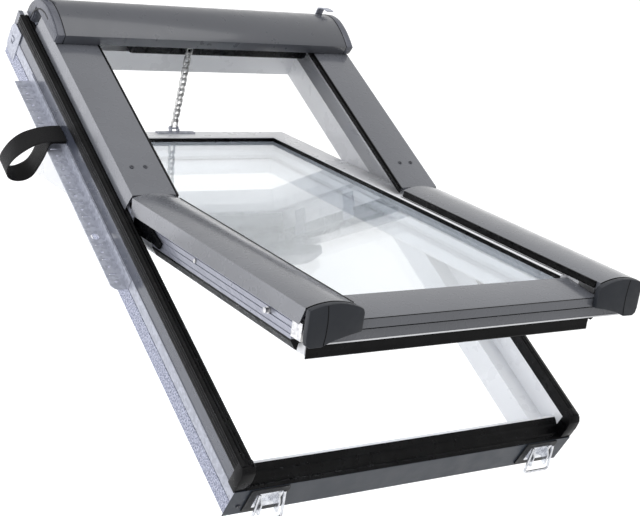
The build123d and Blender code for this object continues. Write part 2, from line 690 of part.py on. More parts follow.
lip_drop = PIVOT_HEIGHT - LEDGE_HEIGHT - 2
with BuildPart() as sash_gasket:
    with BuildSketch(opened(section_at(SIDE_START))):
        outline([(SASH_HALF, SIDE_BOTTOM), (SIDE_OUTER - 1, SIDE_BOTTOM), (SIDE_OUTER - 1, SIDE_BOTTOM - 4),
                 (SIDE_OUTER - 10, -lip_drop + 3), (SIDE_OUTER - 14, -lip_drop + 1), (SIDE_OUTER - 16, SIDE_BOTTOM - 8),
                 (SASH_HALF, SIDE_BOTTOM - 6)])
    extrude(amount=SIDE_START - SIDE_END)
    mirror(about=Plane.YZ)
    with BuildSketch(opened(side_view(-SASH_HALF + 2))):
        outline([(SASH_BOTTOM_Y, -62), (SASH_BOTTOM_Y - 1.2, -63), (SASH_BOTTOM_Y - 2.2, -74),
                 (SASH_BOTTOM_Y - 1.4, -78), (SASH_BOTTOM_Y - 2.2, SASH_UNDERSIDE + 2),
                 (SASH_BOTTOM_Y - 1, SASH_UNDERSIDE), (SASH_BOTTOM_Y, SASH_UNDERSIDE)])
    extrude(amount=2 * (SASH_HALF - 2))
save(sash_gasket.part, "sash_gasket")


def sash_cladding():
    """Lower side cladding on the sash, crowned, with its lower end mitred on the flank."""
    with BuildPart() as cladding:
        with BuildSketch(opened(section_at(SASH_CLADDING_START))):
            cladding_sheet(SASH_CREASE_X, SASH_CREASE, SASH_CREASE_X - 0.6, SASH_FLANK_BOTTOM,
                           SASH_CROWN, SASH_CREASE - PLATEAU)
        extrude(amount=SASH_CLADDING_START - SASH_CLADDING_END)
        with BuildSketch(opened(side_view(SASH_CREASE_X - 4))):
            outline([(SASH_CLADDING_END - 1, SASH_CREASE - 2), (SASH_CLADDING_END, SASH_CREASE - 2),
                     (SASH_CLADDING_END + 13, SASH_FLANK_BOTTOM - 1), (SASH_CLADDING_END - 1, SASH_FLANK_BOTTOM - 1)])
        extrude(amount=6, mode=Mode.SUBTRACT)
    return cladding.part


save_pair(sash_cladding(), "sash_cladding")


def cladding_cap():
    """Moulded end cap of the sash cladding: crowned front, raised inner block and outer skirt."""
    middle = (SASH_CREASE_X + CLADDING_INNER) / 2
    back = SASH_CLADDING_END - 0.3
    with BuildPart() as cap:
        with BuildSketch(opened(section_at(back - 0.5))):
            with BuildLine():
                ThreePointArc((SASH_CREASE_X, SASH_CREASE), (middle, SASH_CREASE + SASH_CROWN),
                              (CLADDING_INNER, SASH_CREASE))
                Polyline((CLADDING_INNER, SASH_CREASE), (CAP_INNER_X, SASH_CREASE - 5),
                         (CAP_INNER_X, CAP_BLOCK_BOTTOM), (CAP_SEAM_X, CAP_BLOCK_BOTTOM),
                         (CAP_SEAM_X, CAP_SKIRT_BOTTOM), (SASH_CREASE_X - 1, CAP_SKIRT_BOTTOM),
                         (SASH_CREASE_X, SASH_CREASE))
            make_face()
        extrude(amount=back - 0.5 - CAP_FRONT)
        front_face = cap.faces().sort_by(Axis.Y)[0]
        fillet(front_face.edges(), 2.5)
        with BuildSketch(opened(section_at(back + 12))):
            with BuildLine():
                ThreePointArc((SASH_CREASE_X - 2, SASH_CREASE - 2), (middle, SASH_CREASE + SASH_CROWN - 2.4),
                              (CLADDING_INNER + 2, SASH_CREASE - 2))
                Polyline((CLADDING_INNER + 2, SASH_CREASE - 2), (CLADDING_INNER + 2, PLATEAU + 2),
                         (SASH_CREASE_X - 2.4, PLATEAU + 2), (SASH_CREASE_X - 2, SASH_CREASE - 2))
            make_face()
        extrude(amount=12.5)
    return cap.part


save_pair(cladding_cap(), "cladding_cap")

with BuildPart() as cladding_clips:
    for y in (SIDE_START - 30, (SIDE_START + SIDE_END) / 2, SIDE_END + 30):
        with BuildSketch(opened(section_at(y + BRACKET_LENGTH / 2))):
            outline([(SASH_HALF + 2, SIDE_TOP), (SASH_HALF + 2, SIDE_TOP + 4), (SASH_CREASE_X - 2.4, SIDE_TOP + 14),
                     (SASH_CREASE_X - 2.4, SASH_FLANK_BOTTOM + 1), (SIDE_OUTER - 2, SIDE_TOP)])
        extrude(amount=BRACKET_LENGTH)
    mirror(about=Plane.YZ)
save(cladding_clips.part, "cladding_clips")

apron_end = SASH_CLADDING_END
apron_low = 1 - APRON_FALL
with BuildPart() as bottom_cladding:
    with BuildSketch(opened(side_view(-CLADDING_INNER + 1))):
        with BuildLine():
            Polyline((APRON_START, 1), (apron_end + 3, apron_low + 0.5), (apron_end, apron_low - 1),
                     (apron_end, CAP_BLOCK_BOTTOM), (apron_end + 5, CAP_BLOCK_BOTTOM))
            offset(amount=SHEET, side=Side.LEFT)
        make_face()
    extrude(amount=2 * (CLADDING_INNER - 1))
save(bottom_cladding.part, "bottom_cladding")

with BuildPart() as drip_flange:
    riser = DRIP_FRONT + 12
    riser_top = 1 - SHEET - APRON_FALL * (APRON_START - riser) / (APRON_START - apron_end) - 0.1
    plate_top = DRIP_TOP + 2
    with BuildSketch(opened(side_view(-CAP_SEAM_X + 0.5))):
        outline([(SASH_BOTTOM_Y, -60), (SASH_BOTTOM_Y, PANE_SEAT), (riser, PANE_SEAT + 1), (DRIP_FRONT, DRIP_TOP),
                 (DRIP_FRONT, DRIP_BOTTOM), (DRIP_FRONT + 2, DRIP_BOTTOM), (DRIP_FRONT + 2, DRIP_TOP - 3.5),
                 (SASH_BOTTOM_Y - 2, PANE_SEAT - 3), (SASH_BOTTOM_Y - 2, -60)])
    extrude(amount=2 * (CAP_SEAM_X - 0.5))
    with BuildSketch(opened(side_view(-CLADDING_INNER + 2))):
        slab(riser, riser + 2, PANE_SEAT, riser_top)
    extrude(amount=2 * (CLADDING_INNER - 2))
    for x0, x1 in ((SASH_HALF - 0.5, SIDE_OUTER + 2), (-SIDE_OUTER - 2, -SASH_HALF + 0.5)):
        with BuildSketch(opened(Plane.XY.offset(-62))):
            slab(x0, x1, PLUG_END - 0.5, SASH_BOTTOM_Y + 1)
        extrude(amount=60, mode=Mode.SUBTRACT)
save(drip_flange.part, "drip_flange")


# Friction pivots

def hinge_base():
    """Frame half of the pivot: a plate on the wall that rises to a drilled hub."""
    pad_top = RIDGE_HEIGHT - GASKET_DROP - 1
    pad_low = LEDGE_HEIGHT + 8
    with BuildPart() as base:
        with BuildSketch(side_view(HINGE_BASE_X)):
            outline([(-46, pad_low), (46, pad_low), (46, pad_top), (20, 108), (HUB_RADIUS, PIVOT_HEIGHT),
                     (-HUB_RADIUS, PIVOT_HEIGHT), (-20, 108), (-46, pad_top)],
                    radii=[6, 6, 8, 12, 0, 0, 12, 8])
            with Locations((0, PIVOT_HEIGHT)):
                Circle(HUB_RADIUS)
        extrude(amount=HINGE_PLATE)
        with BuildSketch(side_view(HINGE_BASE_X + HINGE_PLATE)):
            with Locations((0, (pad_low + pad_top) / 2)):
                RectangleRounded(90, pad_top - pad_low - 2, 5)
        extrude(amount=WALL_X - HINGE_BASE_X - HINGE_PLATE)
        with BuildSketch(side_view(HINGE_BASE_X)):
            with Locations((0, PIVOT_HEIGHT)):
                Circle(PIN_RADIUS + RUNNING_FIT)
            with Locations((-34, pad_low + 18), (34, pad_low + 18)):
                RegularPolygon(SCREW_SHANK, 8)
        extrude(amount=WALL_X - HINGE_BASE_X, mode=Mode.SUBTRACT)
    return base.part


def hinge_arm():
    """Sash half of the pivot: a cranked block on the sash, a hub plate, a brake arm and the pin."""
    arm_x = HINGE_BASE_X - 10
    with BuildPart() as arm:
        with BuildSketch(opened(side_view(SASH_HALF))):
            outline([(SIDE_START + 1, -52), (34, -52), (34, -22), (10, -8), (-18, -8), (SIDE_START + 1, -18)],
                    radii=[3, 6, 8, 6, 6, 3])
        extrude(amount=arm_x - SASH_HALF)
        with BuildSketch(opened(side_view(arm_x))):
            with BuildLine():
                Polyline((HUB_RADIUS, 0), (HUB_RADIUS, -34), (-30, -44), (SIDE_START - 34, -52), (SIDE_START - 40, -40),
                         (-34, -14), (-HUB_RADIUS, 0))
                ThreePointArc((-HUB_RADIUS, 0), (0, HUB_RADIUS), (HUB_RADIUS, 0))
            make_face()
        extrude(amount=HINGE_PLATE)
        with BuildSketch(opened(side_view(arm_x))):
            Circle(PIN_RADIUS)
        extrude(amount=HINGE_BASE_X + HINGE_PLATE + 1.5 - arm_x)
    return arm.part


save_pair(hinge_base(), "hinge_base")
save_pair(hinge_arm(), "hinge_arm")

with BuildPart() as friction_discs:
    disc_start = HINGE_BASE_X - 10 + HINGE_PLATE
    with BuildSketch(opened(side_view(disc_start))):
        RegularPolygon(HUB_RADIUS - 1, 24)
        RegularPolygon(PIN_RADIUS + 2 * DISC_GAP, 12, mode=Mode.SUBTRACT)
    extrude(amount=HINGE_BASE_X - DISC_GAP - disc_start)
    mirror(about=Plane.YZ)
save(friction_discs.part, "friction_discs")


# Chain opener

with BuildPart() as actuator_housing:
    with BuildSketch(side_view(ACTUATOR_LEFT)):
        with Locations(((ACTUATOR_FRONT + ACTUATOR_BACK) / 2, (ACTUATOR_BOTTOM + ACTUATOR_TOP) / 2)):
            RectangleRounded(ACTUATOR_BACK - ACTUATOR_FRONT, ACTUATOR_TOP - ACTUATOR_BOTTOM, 7)
    extrude(amount=ACTUATOR_RIGHT - ACTUATOR_LEFT)
save(actuator_housing.part, "actuator_housing")

with BuildPart() as actuator_caps:
    for x in (ACTUATOR_LEFT - ACTUATOR_CAP, ACTUATOR_RIGHT):
        with BuildSketch(side_view(x)):
            with Locations(((ACTUATOR_FRONT + ACTUATOR_BACK) / 2, (ACTUATOR_BOTTOM + ACTUATOR_TOP) / 2)):
                RectangleRounded(ACTUATOR_BACK - ACTUATOR_FRONT - 2, ACTUATOR_TOP - ACTUATOR_BOTTOM - 2, 6)
        extrude(amount=ACTUATOR_CAP)
save(actuator_caps.part, "actuator_caps")

with BuildPart() as actuator_brackets:
    for x in (ACTUATOR_LEFT + 50, ACTUATOR_RIGHT - 90):
        with BuildSketch(side_view(x)):
            outline([(LINING_Y + 2, LEDGE_HEIGHT), (WALL_Y, LEDGE_HEIGHT), (WALL_Y, RIDGE_HEIGHT - GASKET_DROP - 2),
                     (ACTUATOR_BACK, RIDGE_HEIGHT - GASKET_DROP - 6), (ACTUATOR_BACK, ACTUATOR_BOTTOM + 8),
                     (ACTUATOR_BACK - 8, ACTUATOR_BOTTOM), (LINING_Y + 2, ACTUATOR_BOTTOM)])
            with Locations(((ACTUATOR_FRONT + ACTUATOR_BACK) / 2, (ACTUATOR_BOTTOM + ACTUATOR_TOP) / 2)):
                RectangleRounded(ACTUATOR_BACK - ACTUATOR_FRONT, ACTUATOR_TOP - ACTUATOR_BOTTOM, 7,
                                 mode=Mode.SUBTRACT)
        extrude(amount=BRACKET_LENGTH)
save(actuator_brackets.part, "actuator_brackets")

outlet_front = SASH_TOP_Y + 1
with BuildPart() as chain_outlet:
    with BuildSketch(section_at(ACTUATOR_FRONT)):
        with Locations((CHAIN_X, CHAIN_TOP_Z)):
            RectangleRounded(CHAIN_WIDTH + 12, 24, 4)
    extrude(amount=ACTUATOR_FRONT - outlet_front)
    with BuildSketch(section_at(ACTUATOR_FRONT)):
        with Locations((CHAIN_X, CHAIN_TOP_Z - 8)):
            Rectangle(CHAIN_WIDTH + 3, 32)
    extrude(amount=ACTUATOR_FRONT - outlet_front, mode=Mode.SUBTRACT)
save(chain_outlet.part, "chain_outlet")

eye_y, eye_z = opened_point(EYE_Y, EYE_Z)
chain_start = Vector(CHAIN_X, ACTUATOR_FRONT - LINK_RADIUS - SEAT_GAP, CHAIN_TOP_Z)
eye = Vector(CHAIN_X, eye_y, eye_z)
chain_end = eye - (eye - chain_start).normalized() * (1.5 * LINK_RADIUS + SEAT_GAP)
chain_run = chain_end - chain_start
link_count = round(chain_run.length / CHAIN_PITCH)
pitch = chain_run.length / link_count
chain_plane = Plane(origin=chain_start, x_dir=chain_run.normalized(), z_dir=(1, 0, 0))
with BuildPart() as drive_chain:
    for link in range(link_count):
        spread = CHAIN_WIDTH / 2 - CHAIN_PLATE * (1 if link % 2 else 2.05)
        middle = (link + 0.5) * pitch
        for lift in (-spread - CHAIN_PLATE, spread):
            with BuildSketch(chain_plane.offset(lift)):
                start, stop = middle - pitch / 2, middle + pitch / 2
                outline([(start - LINK_RADIUS, -1.6), (start - 1.6, -LINK_RADIUS), (stop + 1.6, -LINK_RADIUS),
                         (stop + LINK_RADIUS, -1.6), (stop + LINK_RADIUS, 1.6), (stop + 1.6, LINK_RADIUS),
                         (start - 1.6, LINK_RADIUS), (start - LINK_RADIUS, 1.6)])
            extrude(amount=CHAIN_PLATE)
    for pin in range(link_count + 1):
        with BuildSketch(chain_plane.offset(-CHAIN_WIDTH / 2)):
            with Locations((pin * pitch, 0)):
                RegularPolygon(LINK_RADIUS / 2, 6)
        extrude(amount=CHAIN_WIDTH)
save(drive_chain.part, "drive_chain")

with BuildPart() as chain_bracket:
    ear = CHAIN_WIDTH / 2 + 1
    with BuildSketch(opened(Plane.XY.offset(PLATEAU))):
        with Locations((CHAIN_X + 2, EYE_Y - 7)):
            RectangleRounded(94, 16, 2)
    extrude(amount=2.5)
    for x in (CHAIN_X - ear - 2.5, CHAIN_X + ear):
        with BuildSketch(opened(side_view(x))):
            slab(EYE_Y - 9, EYE_Y + 1, PLATEAU + 1, EYE_Z)
            with Locations((EYE_Y, EYE_Z)):
                RegularPolygon(5, 10)
        extrude(amount=2.5)
    with BuildSketch(opened(side_view(CHAIN_X - ear - 3.5))):
        with Locations((EYE_Y, EYE_Z)):
            RegularPolygon(LINK_RADIUS / 2, 8)
    extrude(amount=2 * ear + 7)
save(chain_bracket.part, "chain_bracket")


# Fixing hardware

def mounting_angle():
    """Perforated fixing angle on the side rail: slots and round holes in turn."""
    leg_low = RAIL_BOTTOM - 0.5
    flange_x = HALF_W + ANGLE_FLANGE
    hole_x = HALF_W + 0.56 * ANGLE_FLANGE
    length = ANGLE_TOP_Y - ANGLE_LOW_Y
    count = int(length / ANGLE_PITCH)
    with BuildPart() as angle:
        with BuildSketch(section_at(ANGLE_TOP_Y)):
            outline([(HALF_W, leg_low), (flange_x, leg_low), (flange_x, leg_low + ANGLE_SHEET),
                     (HALF_W + ANGLE_SHEET, leg_low + ANGLE_SHEET), (HALF_W + ANGLE_SHEET, leg_low + ANGLE_LEG),
                     (HALF_W, leg_low + ANGLE_LEG)])
        extrude(amount=length)
        corner = angle.edges().filter_by(Axis.Z).group_by(Axis.Y)[0].sort_by(Axis.X)[-1]
        fillet(corner, 14)
        with BuildSketch(Plane.XY.offset(leg_low)):
            for place in range(1, count):
                y = ANGLE_TOP_Y - place * ANGLE_PITCH
                if abs(y - 12) > ANGLE_BIG_HOLE + 8:
                    with Locations((hole_x, y)):
                        if place % 2:
                            Rectangle(ANGLE_SLOT, ANGLE_HOLE)
                        else:
                            RegularPolygon(ANGLE_HOLE, 8)
            with Locations((hole_x, 12)):
                Circle(ANGLE_BIG_HOLE)
        extrude(amount=ANGLE_SHEET, mode=Mode.SUBTRACT)
    return angle.part


def corner_bracket():
    """Rounded fixing tab at the top corner, with a curved slot."""
    low = 20
    high = 88
    y_low = 540
    with BuildPart() as bracket:
        with BuildSketch(side_view(HALF_W)):
            outline([(y_low, low), (HALF_L, low), (HALF_L, high), (y_low, high)], radii=[4, 20, 20, 4])
            with Locations((HALF_L - 22, (low + high) / 2)):
                Circle(9, mode=Mode.SUBTRACT)
                Circle(4.5)
            slab(HALF_L - 22, HALF_L - 10, (low + high) / 2 - 3, (low + high) / 2 + 3)
        extrude(amount=ANGLE_SHEET)
    return bracket.part


save_pair(mounting_angle(), "mounting_angle")
save_both(corner_bracket(), "corner_brackets")

strap_loop = [(0, 69), (44, 67), (80, 48), (104, 8), (100, -26), (70, -38), (42, -24), (34.5, 40),
              (33, 61.6), (0, 61.6)]
strap_inside = [(12, 66.6), (43.3, 64.8), (78.4, 46.2), (101.7, 7.4), (98, -24.6), (69.7, -35.6), (44, -22.6),
                (36.7, 40.2), (35.2, 63.8), (12, 63.8)]
with BuildPart() as lifting_strap:
    with BuildSketch(section_at(STRAP_Y + STRAP_WIDTH / 2)):
        outline([(-HALF_W - x, z) for x, z in strap_loop], radii=[0, 26, 30, 22, 18, 20, 24, 8, 2, 0])
        with BuildLine() as strap_hole:
            FilletPolyline([(-HALF_W - x, z) for x, z in strap_inside],
                           radius=[0.4, 24, 28, 20, 16, 18, 22, 8, 1, 0.4], close=True)
        make_face(strap_hole.edges(), mode=Mode.SUBTRACT)
    extrude(amount=STRAP_WIDTH)
save(lifting_strap.part, "lifting_strap")


def striker():
    """Bright catch in front of the sill: back plate, two cheeks and a bent wire bow."""
    face = -HALF_L - 3
    high = COVER_HEIGHT - 6
    half = STRIKER_WIDTH / 2
    with BuildPart() as catch:
        with BuildSketch(section_at(face)):
            with Locations((STRIKER_X, high - 20)):
                RectangleRounded(0.8 * STRIKER_WIDTH, 36, 3)
        extrude(amount=2.5)
        for x in (STRIKER_X - 0.3 * STRIKER_WIDTH, STRIKER_X + 0.3 * STRIKER_WIDTH - 3):
            with BuildSketch(side_view(x)):
                outline([(face, high - 4), (face - 14, high - 18), (face - 20, high - 40), (face - 12, high - 40),
                         (face, high - 30)], radii=[0, 6, 3, 3, 0])
            extrude(amount=3)
        with BuildLine():
            bow = FilletPolyline((STRIKER_X - 0.38 * STRIKER_WIDTH, face - 5, high),
                                 (STRIKER_X - half + WIRE_RADIUS, face - 22, 8),
                                 (STRIKER_X + half - WIRE_RADIUS, face - 22, 8),
                                 (STRIKER_X + 0.38 * STRIKER_WIDTH, face - 5, high), radius=6)
        with BuildSketch(Plane(origin=bow @ 0, z_dir=bow % 0)):
            RegularPolygon(WIRE_RADIUS, 6)
        sweep(path=bow)
    return catch.part


save_both(striker(), "strikers")

with BuildPart() as striker_blocks:
    with BuildSketch(section_at(-HALF_L)):
        with Locations((STRIKER_X, COVER_HEIGHT / 2 + 2)):
            RectangleRounded(STRIKER_WIDTH + 12, COVER_HEIGHT - 6, 4)
    extrude(amount=3)
    mirror(about=Plane.YZ)
save(striker_blocks.part, "striker_blocks")


# Screws and small fittings

def screw(plane, x, y, depth):
    """Round-headed screw standing on a plane, with its shank below."""
    with BuildSketch(plane) as head:
        with Locations((x, y)):
            RegularPolygon(SCREW_HEAD, 8)
    extrude(head.sketch, amount=2)
    with BuildSketch(plane) as shank:
        with Locations((x, y)):
            RegularPolygon(SCREW_SHANK, 6)
    extrude(shank.sketch, amount=-depth)


with BuildPart() as frame_screws:
    for x in CLADDING_SCREWS_X:
        screw(Plane.XY.offset(CREASE_HEIGHT + FRAME_CROWN), x, CLADDING_BRACKETS_Y[0], 6)
    screw(section_at(-HALF_L), HALF_W - COVER_SCREW_IN, COVER_SCREW_IN, COVER_SHEET)
    mirror(about=Plane.YZ)
save(frame_screws.part, "frame_screws")

with BuildPart() as sash_fittings:
    screw(opened(side_view(SIDE_OUTER)), SIDE_SCREW_Y, SIDE_SCREW_Z, 6)
    for start, height, radius in ((0, 3, 6), (3, 5, 4), (8, 1.5, 5)):
        with BuildSketch(opened(side_view(SIDE_OUTER + start))):
            with Locations((STUD_Y, SIDE_SCREW_Z)):
                RegularPolygon(radius, 12)
        extrude(amount=height)
    with BuildSketch(opened(section_at(SIDE_END))):
        slab(SASH_HALF, SIDE_OUTER + 1.5, -50, -21)
    extrude(amount=SIDE_END - PLUG_END)
    mirror(about=Plane.YZ)
save(sash_fittings.part, "sash_fittings")
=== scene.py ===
"""Looks of a centre-pivot roof window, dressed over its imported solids. Lengths are metres."""

import json
import logging
import math
from dataclasses import dataclass, field
from enum import Enum
from typing import Iterable, Sequence

import bpy
from mathutils import Matrix, Vector


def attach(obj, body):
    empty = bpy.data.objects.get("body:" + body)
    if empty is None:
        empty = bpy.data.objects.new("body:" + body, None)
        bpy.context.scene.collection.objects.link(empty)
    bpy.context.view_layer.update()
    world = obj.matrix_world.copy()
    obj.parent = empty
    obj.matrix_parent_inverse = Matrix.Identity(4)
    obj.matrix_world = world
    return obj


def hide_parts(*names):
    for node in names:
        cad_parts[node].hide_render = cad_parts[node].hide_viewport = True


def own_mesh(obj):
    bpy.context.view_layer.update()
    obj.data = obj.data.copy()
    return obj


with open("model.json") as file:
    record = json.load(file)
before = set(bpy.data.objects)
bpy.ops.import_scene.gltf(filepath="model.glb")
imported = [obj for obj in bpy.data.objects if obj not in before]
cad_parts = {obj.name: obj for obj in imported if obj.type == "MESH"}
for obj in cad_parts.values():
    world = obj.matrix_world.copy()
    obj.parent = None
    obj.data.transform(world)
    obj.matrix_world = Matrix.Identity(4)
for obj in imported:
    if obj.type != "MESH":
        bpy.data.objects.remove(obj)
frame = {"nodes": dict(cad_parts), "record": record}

LOG = logging.getLogger("roof_window")
Point = tuple[float, float, float]
Colour = tuple[float, float, float]
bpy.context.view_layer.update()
PIVOT_HEIGHT = 0.131
OPEN_ANGLE = math.radians(27.56)


class Body(Enum):
    """The two rigid halves of the window."""

    FRAME = "frame"
    SASH = "sash"


class Side(Enum):
    """Left or right half of the window, as the sign of X."""

    LEFT = -1
    RIGHT = 1


def screen_colour(red: int, green: int, blue: int) -> Colour:
    """Turn a colour as seen on a screen into the linear one that a shader takes.

    Args:
        red: Red, 0 to 255.
        green: Green, 0 to 255.
        blue: Blue, 0 to 255.

    Returns:
        The linear colour.
    """
    def linear(value: float) -> float:
        """Undo the screen's curve for one channel."""
        share = value / 255
        return share / 12.92 if share <= 0.04045 else ((share + 0.055) / 1.055) ** 2.4

    return linear(red), linear(green), linear(blue)


def opened_frame() -> Matrix:
    """Matrix that carries closed-sash coordinates about the pivot axis to the open sash."""
    return Matrix.Translation((0, 0, PIVOT_HEIGHT)) @ Matrix.Rotation(-OPEN_ANGLE, 4, "X")


def background_rays(tree: bpy.types.NodeTree) -> bpy.types.NodeSocket:
    """Socket that is 1 on the rays that see the background: camera, glossy and transmission.

    Args:
        tree: Node tree of a material or of the world.

    Returns:
        The socket.
    """
    ray = tree.nodes.new("ShaderNodeLightPath")
    seen = ray.outputs["Is Camera Ray"]
    for name in ("Is Glossy Ray", "Is Transmission Ray"):
        either = tree.nodes.new("ShaderNodeMath")
        either.operation = "MAXIMUM"
        tree.links.new(seen, either.inputs[0])
        tree.links.new(ray.outputs[name], either.inputs[1])
        seen = either.outputs[0]
    return seen


class NodeBoard:
    """A material's node tree with short calls for the nodes that the finishes share."""

    def __init__(self, name: str) -> None:
        """Start an empty material.

        Args:
            name: Name of the material.
        """
        self.material = bpy.data.materials.new(name)
        self.material.use_nodes = True
        self.tree = self.material.node_tree
        self.tree.nodes.clear()
        self.output = self.add("ShaderNodeOutputMaterial")
        self.coordinates = self.add("ShaderNodeTexCoord").outputs["Object"]

    def add(self, kind: str, **settings: object) -> bpy.types.Node:
        """Add a node and set its plain properties.

        Args:
            kind: Blender's name of the node.
            **settings: Properties of the node.

        Returns:
            The new node.
        """
        node = self.tree.nodes.new(kind)
        for key, value in settings.items():
            setattr(node, key, value)
        return node

    def join(self, source: bpy.types.NodeSocket, target: bpy.types.NodeSocket) -> None:
        """Link one socket to another."""
        self.tree.links.new(source, target)

    def stretched(self, scale: Point) -> bpy.types.NodeSocket:
        """Object coordinates stretched along the axes."""
        mapping = self.add("ShaderNodeMapping")
        mapping.inputs["Scale"].default_value = scale
        self.join(self.coordinates, mapping.inputs["Vector"])
        return mapping.outputs["Vector"]

    def noise(self, scale: float, detail: float = 3.0, stretch: Point = (1, 1, 1)) -> bpy.types.NodeSocket:
        """Noise over the piece.

        Args:
            scale: Cells per metre.
            detail: Octaves.
            stretch: Stretch of the pattern along the axes.

        Returns:
            The noise factor.
        """
        node = self.add("ShaderNodeTexNoise")
        node.inputs["Scale"].default_value = scale
        node.inputs["Detail"].default_value = detail
        self.join(self.stretched(stretch), node.inputs["Vector"])
        return node.outputs["Fac"]

    def cells(self, scale: float) -> bpy.types.NodeSocket:
        """Random value per cell of a cellular pattern.

        Args:
            scale: Cells per metre.

        Returns:
            A grey value that is even in each cell.
        """
        node = self.add("ShaderNodeTexVoronoi")
        node.inputs["Scale"].default_value = scale
        self.join(self.coordinates, node.inputs["Vector"])
        split = self.add("ShaderNodeSeparateColor")
        self.join(node.outputs["Color"], split.inputs["Color"])
        return split.outputs["Red"]

    def ramp(self, source: bpy.types.NodeSocket, low: Colour, high: Colour,
             start: float = 0.3, end: float = 0.7) -> bpy.types.NodeSocket:
        """Turn a factor into a colour between two.

        Args:
            source: The factor.
            low: Colour below start.
            high: Colour above end.
            start: Factor where the change starts.
            end: Factor where it ends.

        Returns:
            The colour.
        """
        node = self.add("ShaderNodeValToRGB")
        first, last = node.color_ramp.elements
        first.position, last.position = start, end
        first.color, last.color = (*low, 1), (*high, 1)
        self.join(source, node.inputs["Fac"])
        return node.outputs["Color"]

    def between(self, source: bpy.types.NodeSocket, low: float, high: float) -> bpy.types.NodeSocket:
        """Spread a factor over a range of numbers."""
        node = self.add("ShaderNodeMapRange")
        node.inputs["From Min"].default_value = 0.3
        node.inputs["From Max"].default_value = 0.7
        node.inputs["To Min"].default_value = low
        node.inputs["To Max"].default_value = high
        self.join(source, node.inputs["Value"])
        return node.outputs["Result"]

    def bump(self, source: bpy.types.NodeSocket, strength: float, depth: float,
             edge: float = 0.0005) -> bpy.types.NodeSocket:
        """Surface relief from a factor, over edges that are eased a little.

        Args:
            source: The height factor.
            strength: Strength of the relief.
            depth: Its depth in metres.
            edge: Radius of the eased edges, in metres.

        Returns:
            The normal.
        """
        soft = self.add("ShaderNodeBevel", samples=4)
        soft.inputs["Radius"].default_value = edge
        node = self.add("ShaderNodeBump")
        node.inputs["Strength"].default_value = strength
        node.inputs["Distance"].default_value = depth
        self.join(source, node.inputs["Height"])
        self.join(soft.outputs["Normal"], node.inputs["Normal"])
        return node.outputs["Normal"]

    def shader(self, roughness: float, metallic: float = 0.0, coat: float = 0.0,
               coat_roughness: float = 0.1, specular: float = 0.5) -> bpy.types.Node:
        """The surface shader, linked to the output.

        Args:
            roughness: Even roughness, used where none is linked.
            metallic: Share of metal.
            coat: Weight of a clear coat.
            coat_roughness: Roughness of that coat.
            specular: Specular level.

        Returns:
            The shader node.
        """
        node = self.add("ShaderNodeBsdfPrincipled")
        node.inputs["Roughness"].default_value = roughness
        node.inputs["Metallic"].default_value = metallic
        node.inputs["Coat Weight"].default_value = coat
        node.inputs["Coat Roughness"].default_value = coat_roughness
        node.inputs["Specular IOR Level"].default_value = specular
        self.join(node.outputs["BSDF"], self.output.inputs["Surface"])
        return node


@dataclass(frozen=True)
class PaintedSheet:
    """Stove-enamelled aluminium sheet: soft mottling, fine speckle and an uneven gloss."""

    name: str
    colour: Colour
    gloss: float = 0.30
    coat: float = 0.25

    def material(self) -> bpy.types.Material:
        """Build the material."""
        board = NodeBoard(self.name)
        shader = board.shader(self.gloss, 0.0, self.coat, 0.12, 0.35)
        dark = tuple(0.90 * c for c in self.colour)
        light = tuple(1.07 * c for c in self.colour)
        board.join(board.ramp(board.noise(5, 4), dark, light), shader.inputs["Base Color"])
        board.join(board.between(board.noise(38, 5), self.gloss - 0.04, self.gloss + 0.07),
                   shader.inputs["Roughness"])
        board.join(board.bump(board.noise(900, 2), 0.04, 0.0002), shader.inputs["Normal"])
        return board.material


@dataclass(frozen=True)
class GalvanisedSteel:
    """Zinc-coated sheet with small crystals that catch the light differently."""

    name: str
    dark: Colour
    light: Colour
    crystal: float = 180.0
    metal: float = 0.55

    def material(self) -> bpy.types.Material:
        """Build the material."""
        board = NodeBoard(self.name)
        shader = board.shader(0.42, self.metal, 0.0, 0.1, 0.35)
        cells = board.cells(self.crystal)
        board.join(board.ramp(cells, self.dark, self.light, 0.0, 1.0), shader.inputs["Base Color"])
        board.join(board.between(board.noise(60, 4), 0.30, 0.48), shader.inputs["Roughness"])
        board.join(board.bump(board.noise(300, 3), 0.05, 0.0002), shader.inputs["Normal"])
        return board.material


@dataclass(frozen=True)
class BrushedAluminium:
    """Drawn aluminium with fine marks along the slope."""

    name: str
    dark: Colour
    light: Colour
    metal: float = 0.6
    gloss: float = 0.33

    def material(self) -> bpy.types.Material:
        """Build the material."""
        board = NodeBoard(self.name)
        shader = board.shader(self.gloss, self.metal, 0.6, 0.14)
        marks = board.noise(900, 3, (1, 0.012, 1))
        board.join(board.ramp(marks, self.dark, self.light), shader.inputs["Base Color"])
        board.join(board.between(board.noise(24, 4), self.gloss - 0.05, self.gloss + 0.1),
                   shader.inputs["Roughness"])
        board.join(board.bump(marks, 0.06, 0.0002), shader.inputs["Normal"])
        return board.material


@dataclass(frozen=True)
class FoilFoam:
    """Foam strip faced with crumpled foil, speckled like hammered metal."""

    name: str
    dark: Colour
    light: Colour

    def material(self) -> bpy.types.Material:
        """Build the material."""
        board = NodeBoard(self.name)
        shader = board.shader(0.5, 0.2, 0.0, 0.1, 0.3)
        speckle = board.noise(330, 6)
        board.join(board.ramp(speckle, self.dark, self.light, 0.38, 0.62), shader.inputs["Base Color"])
        board.join(board.between(speckle, 0.55, 0.35), shader.inputs["Roughness"])
        board.join(board.bump(board.noise(260, 5), 0.45, 0.0008), shader.inputs["Normal"])
        return board.material


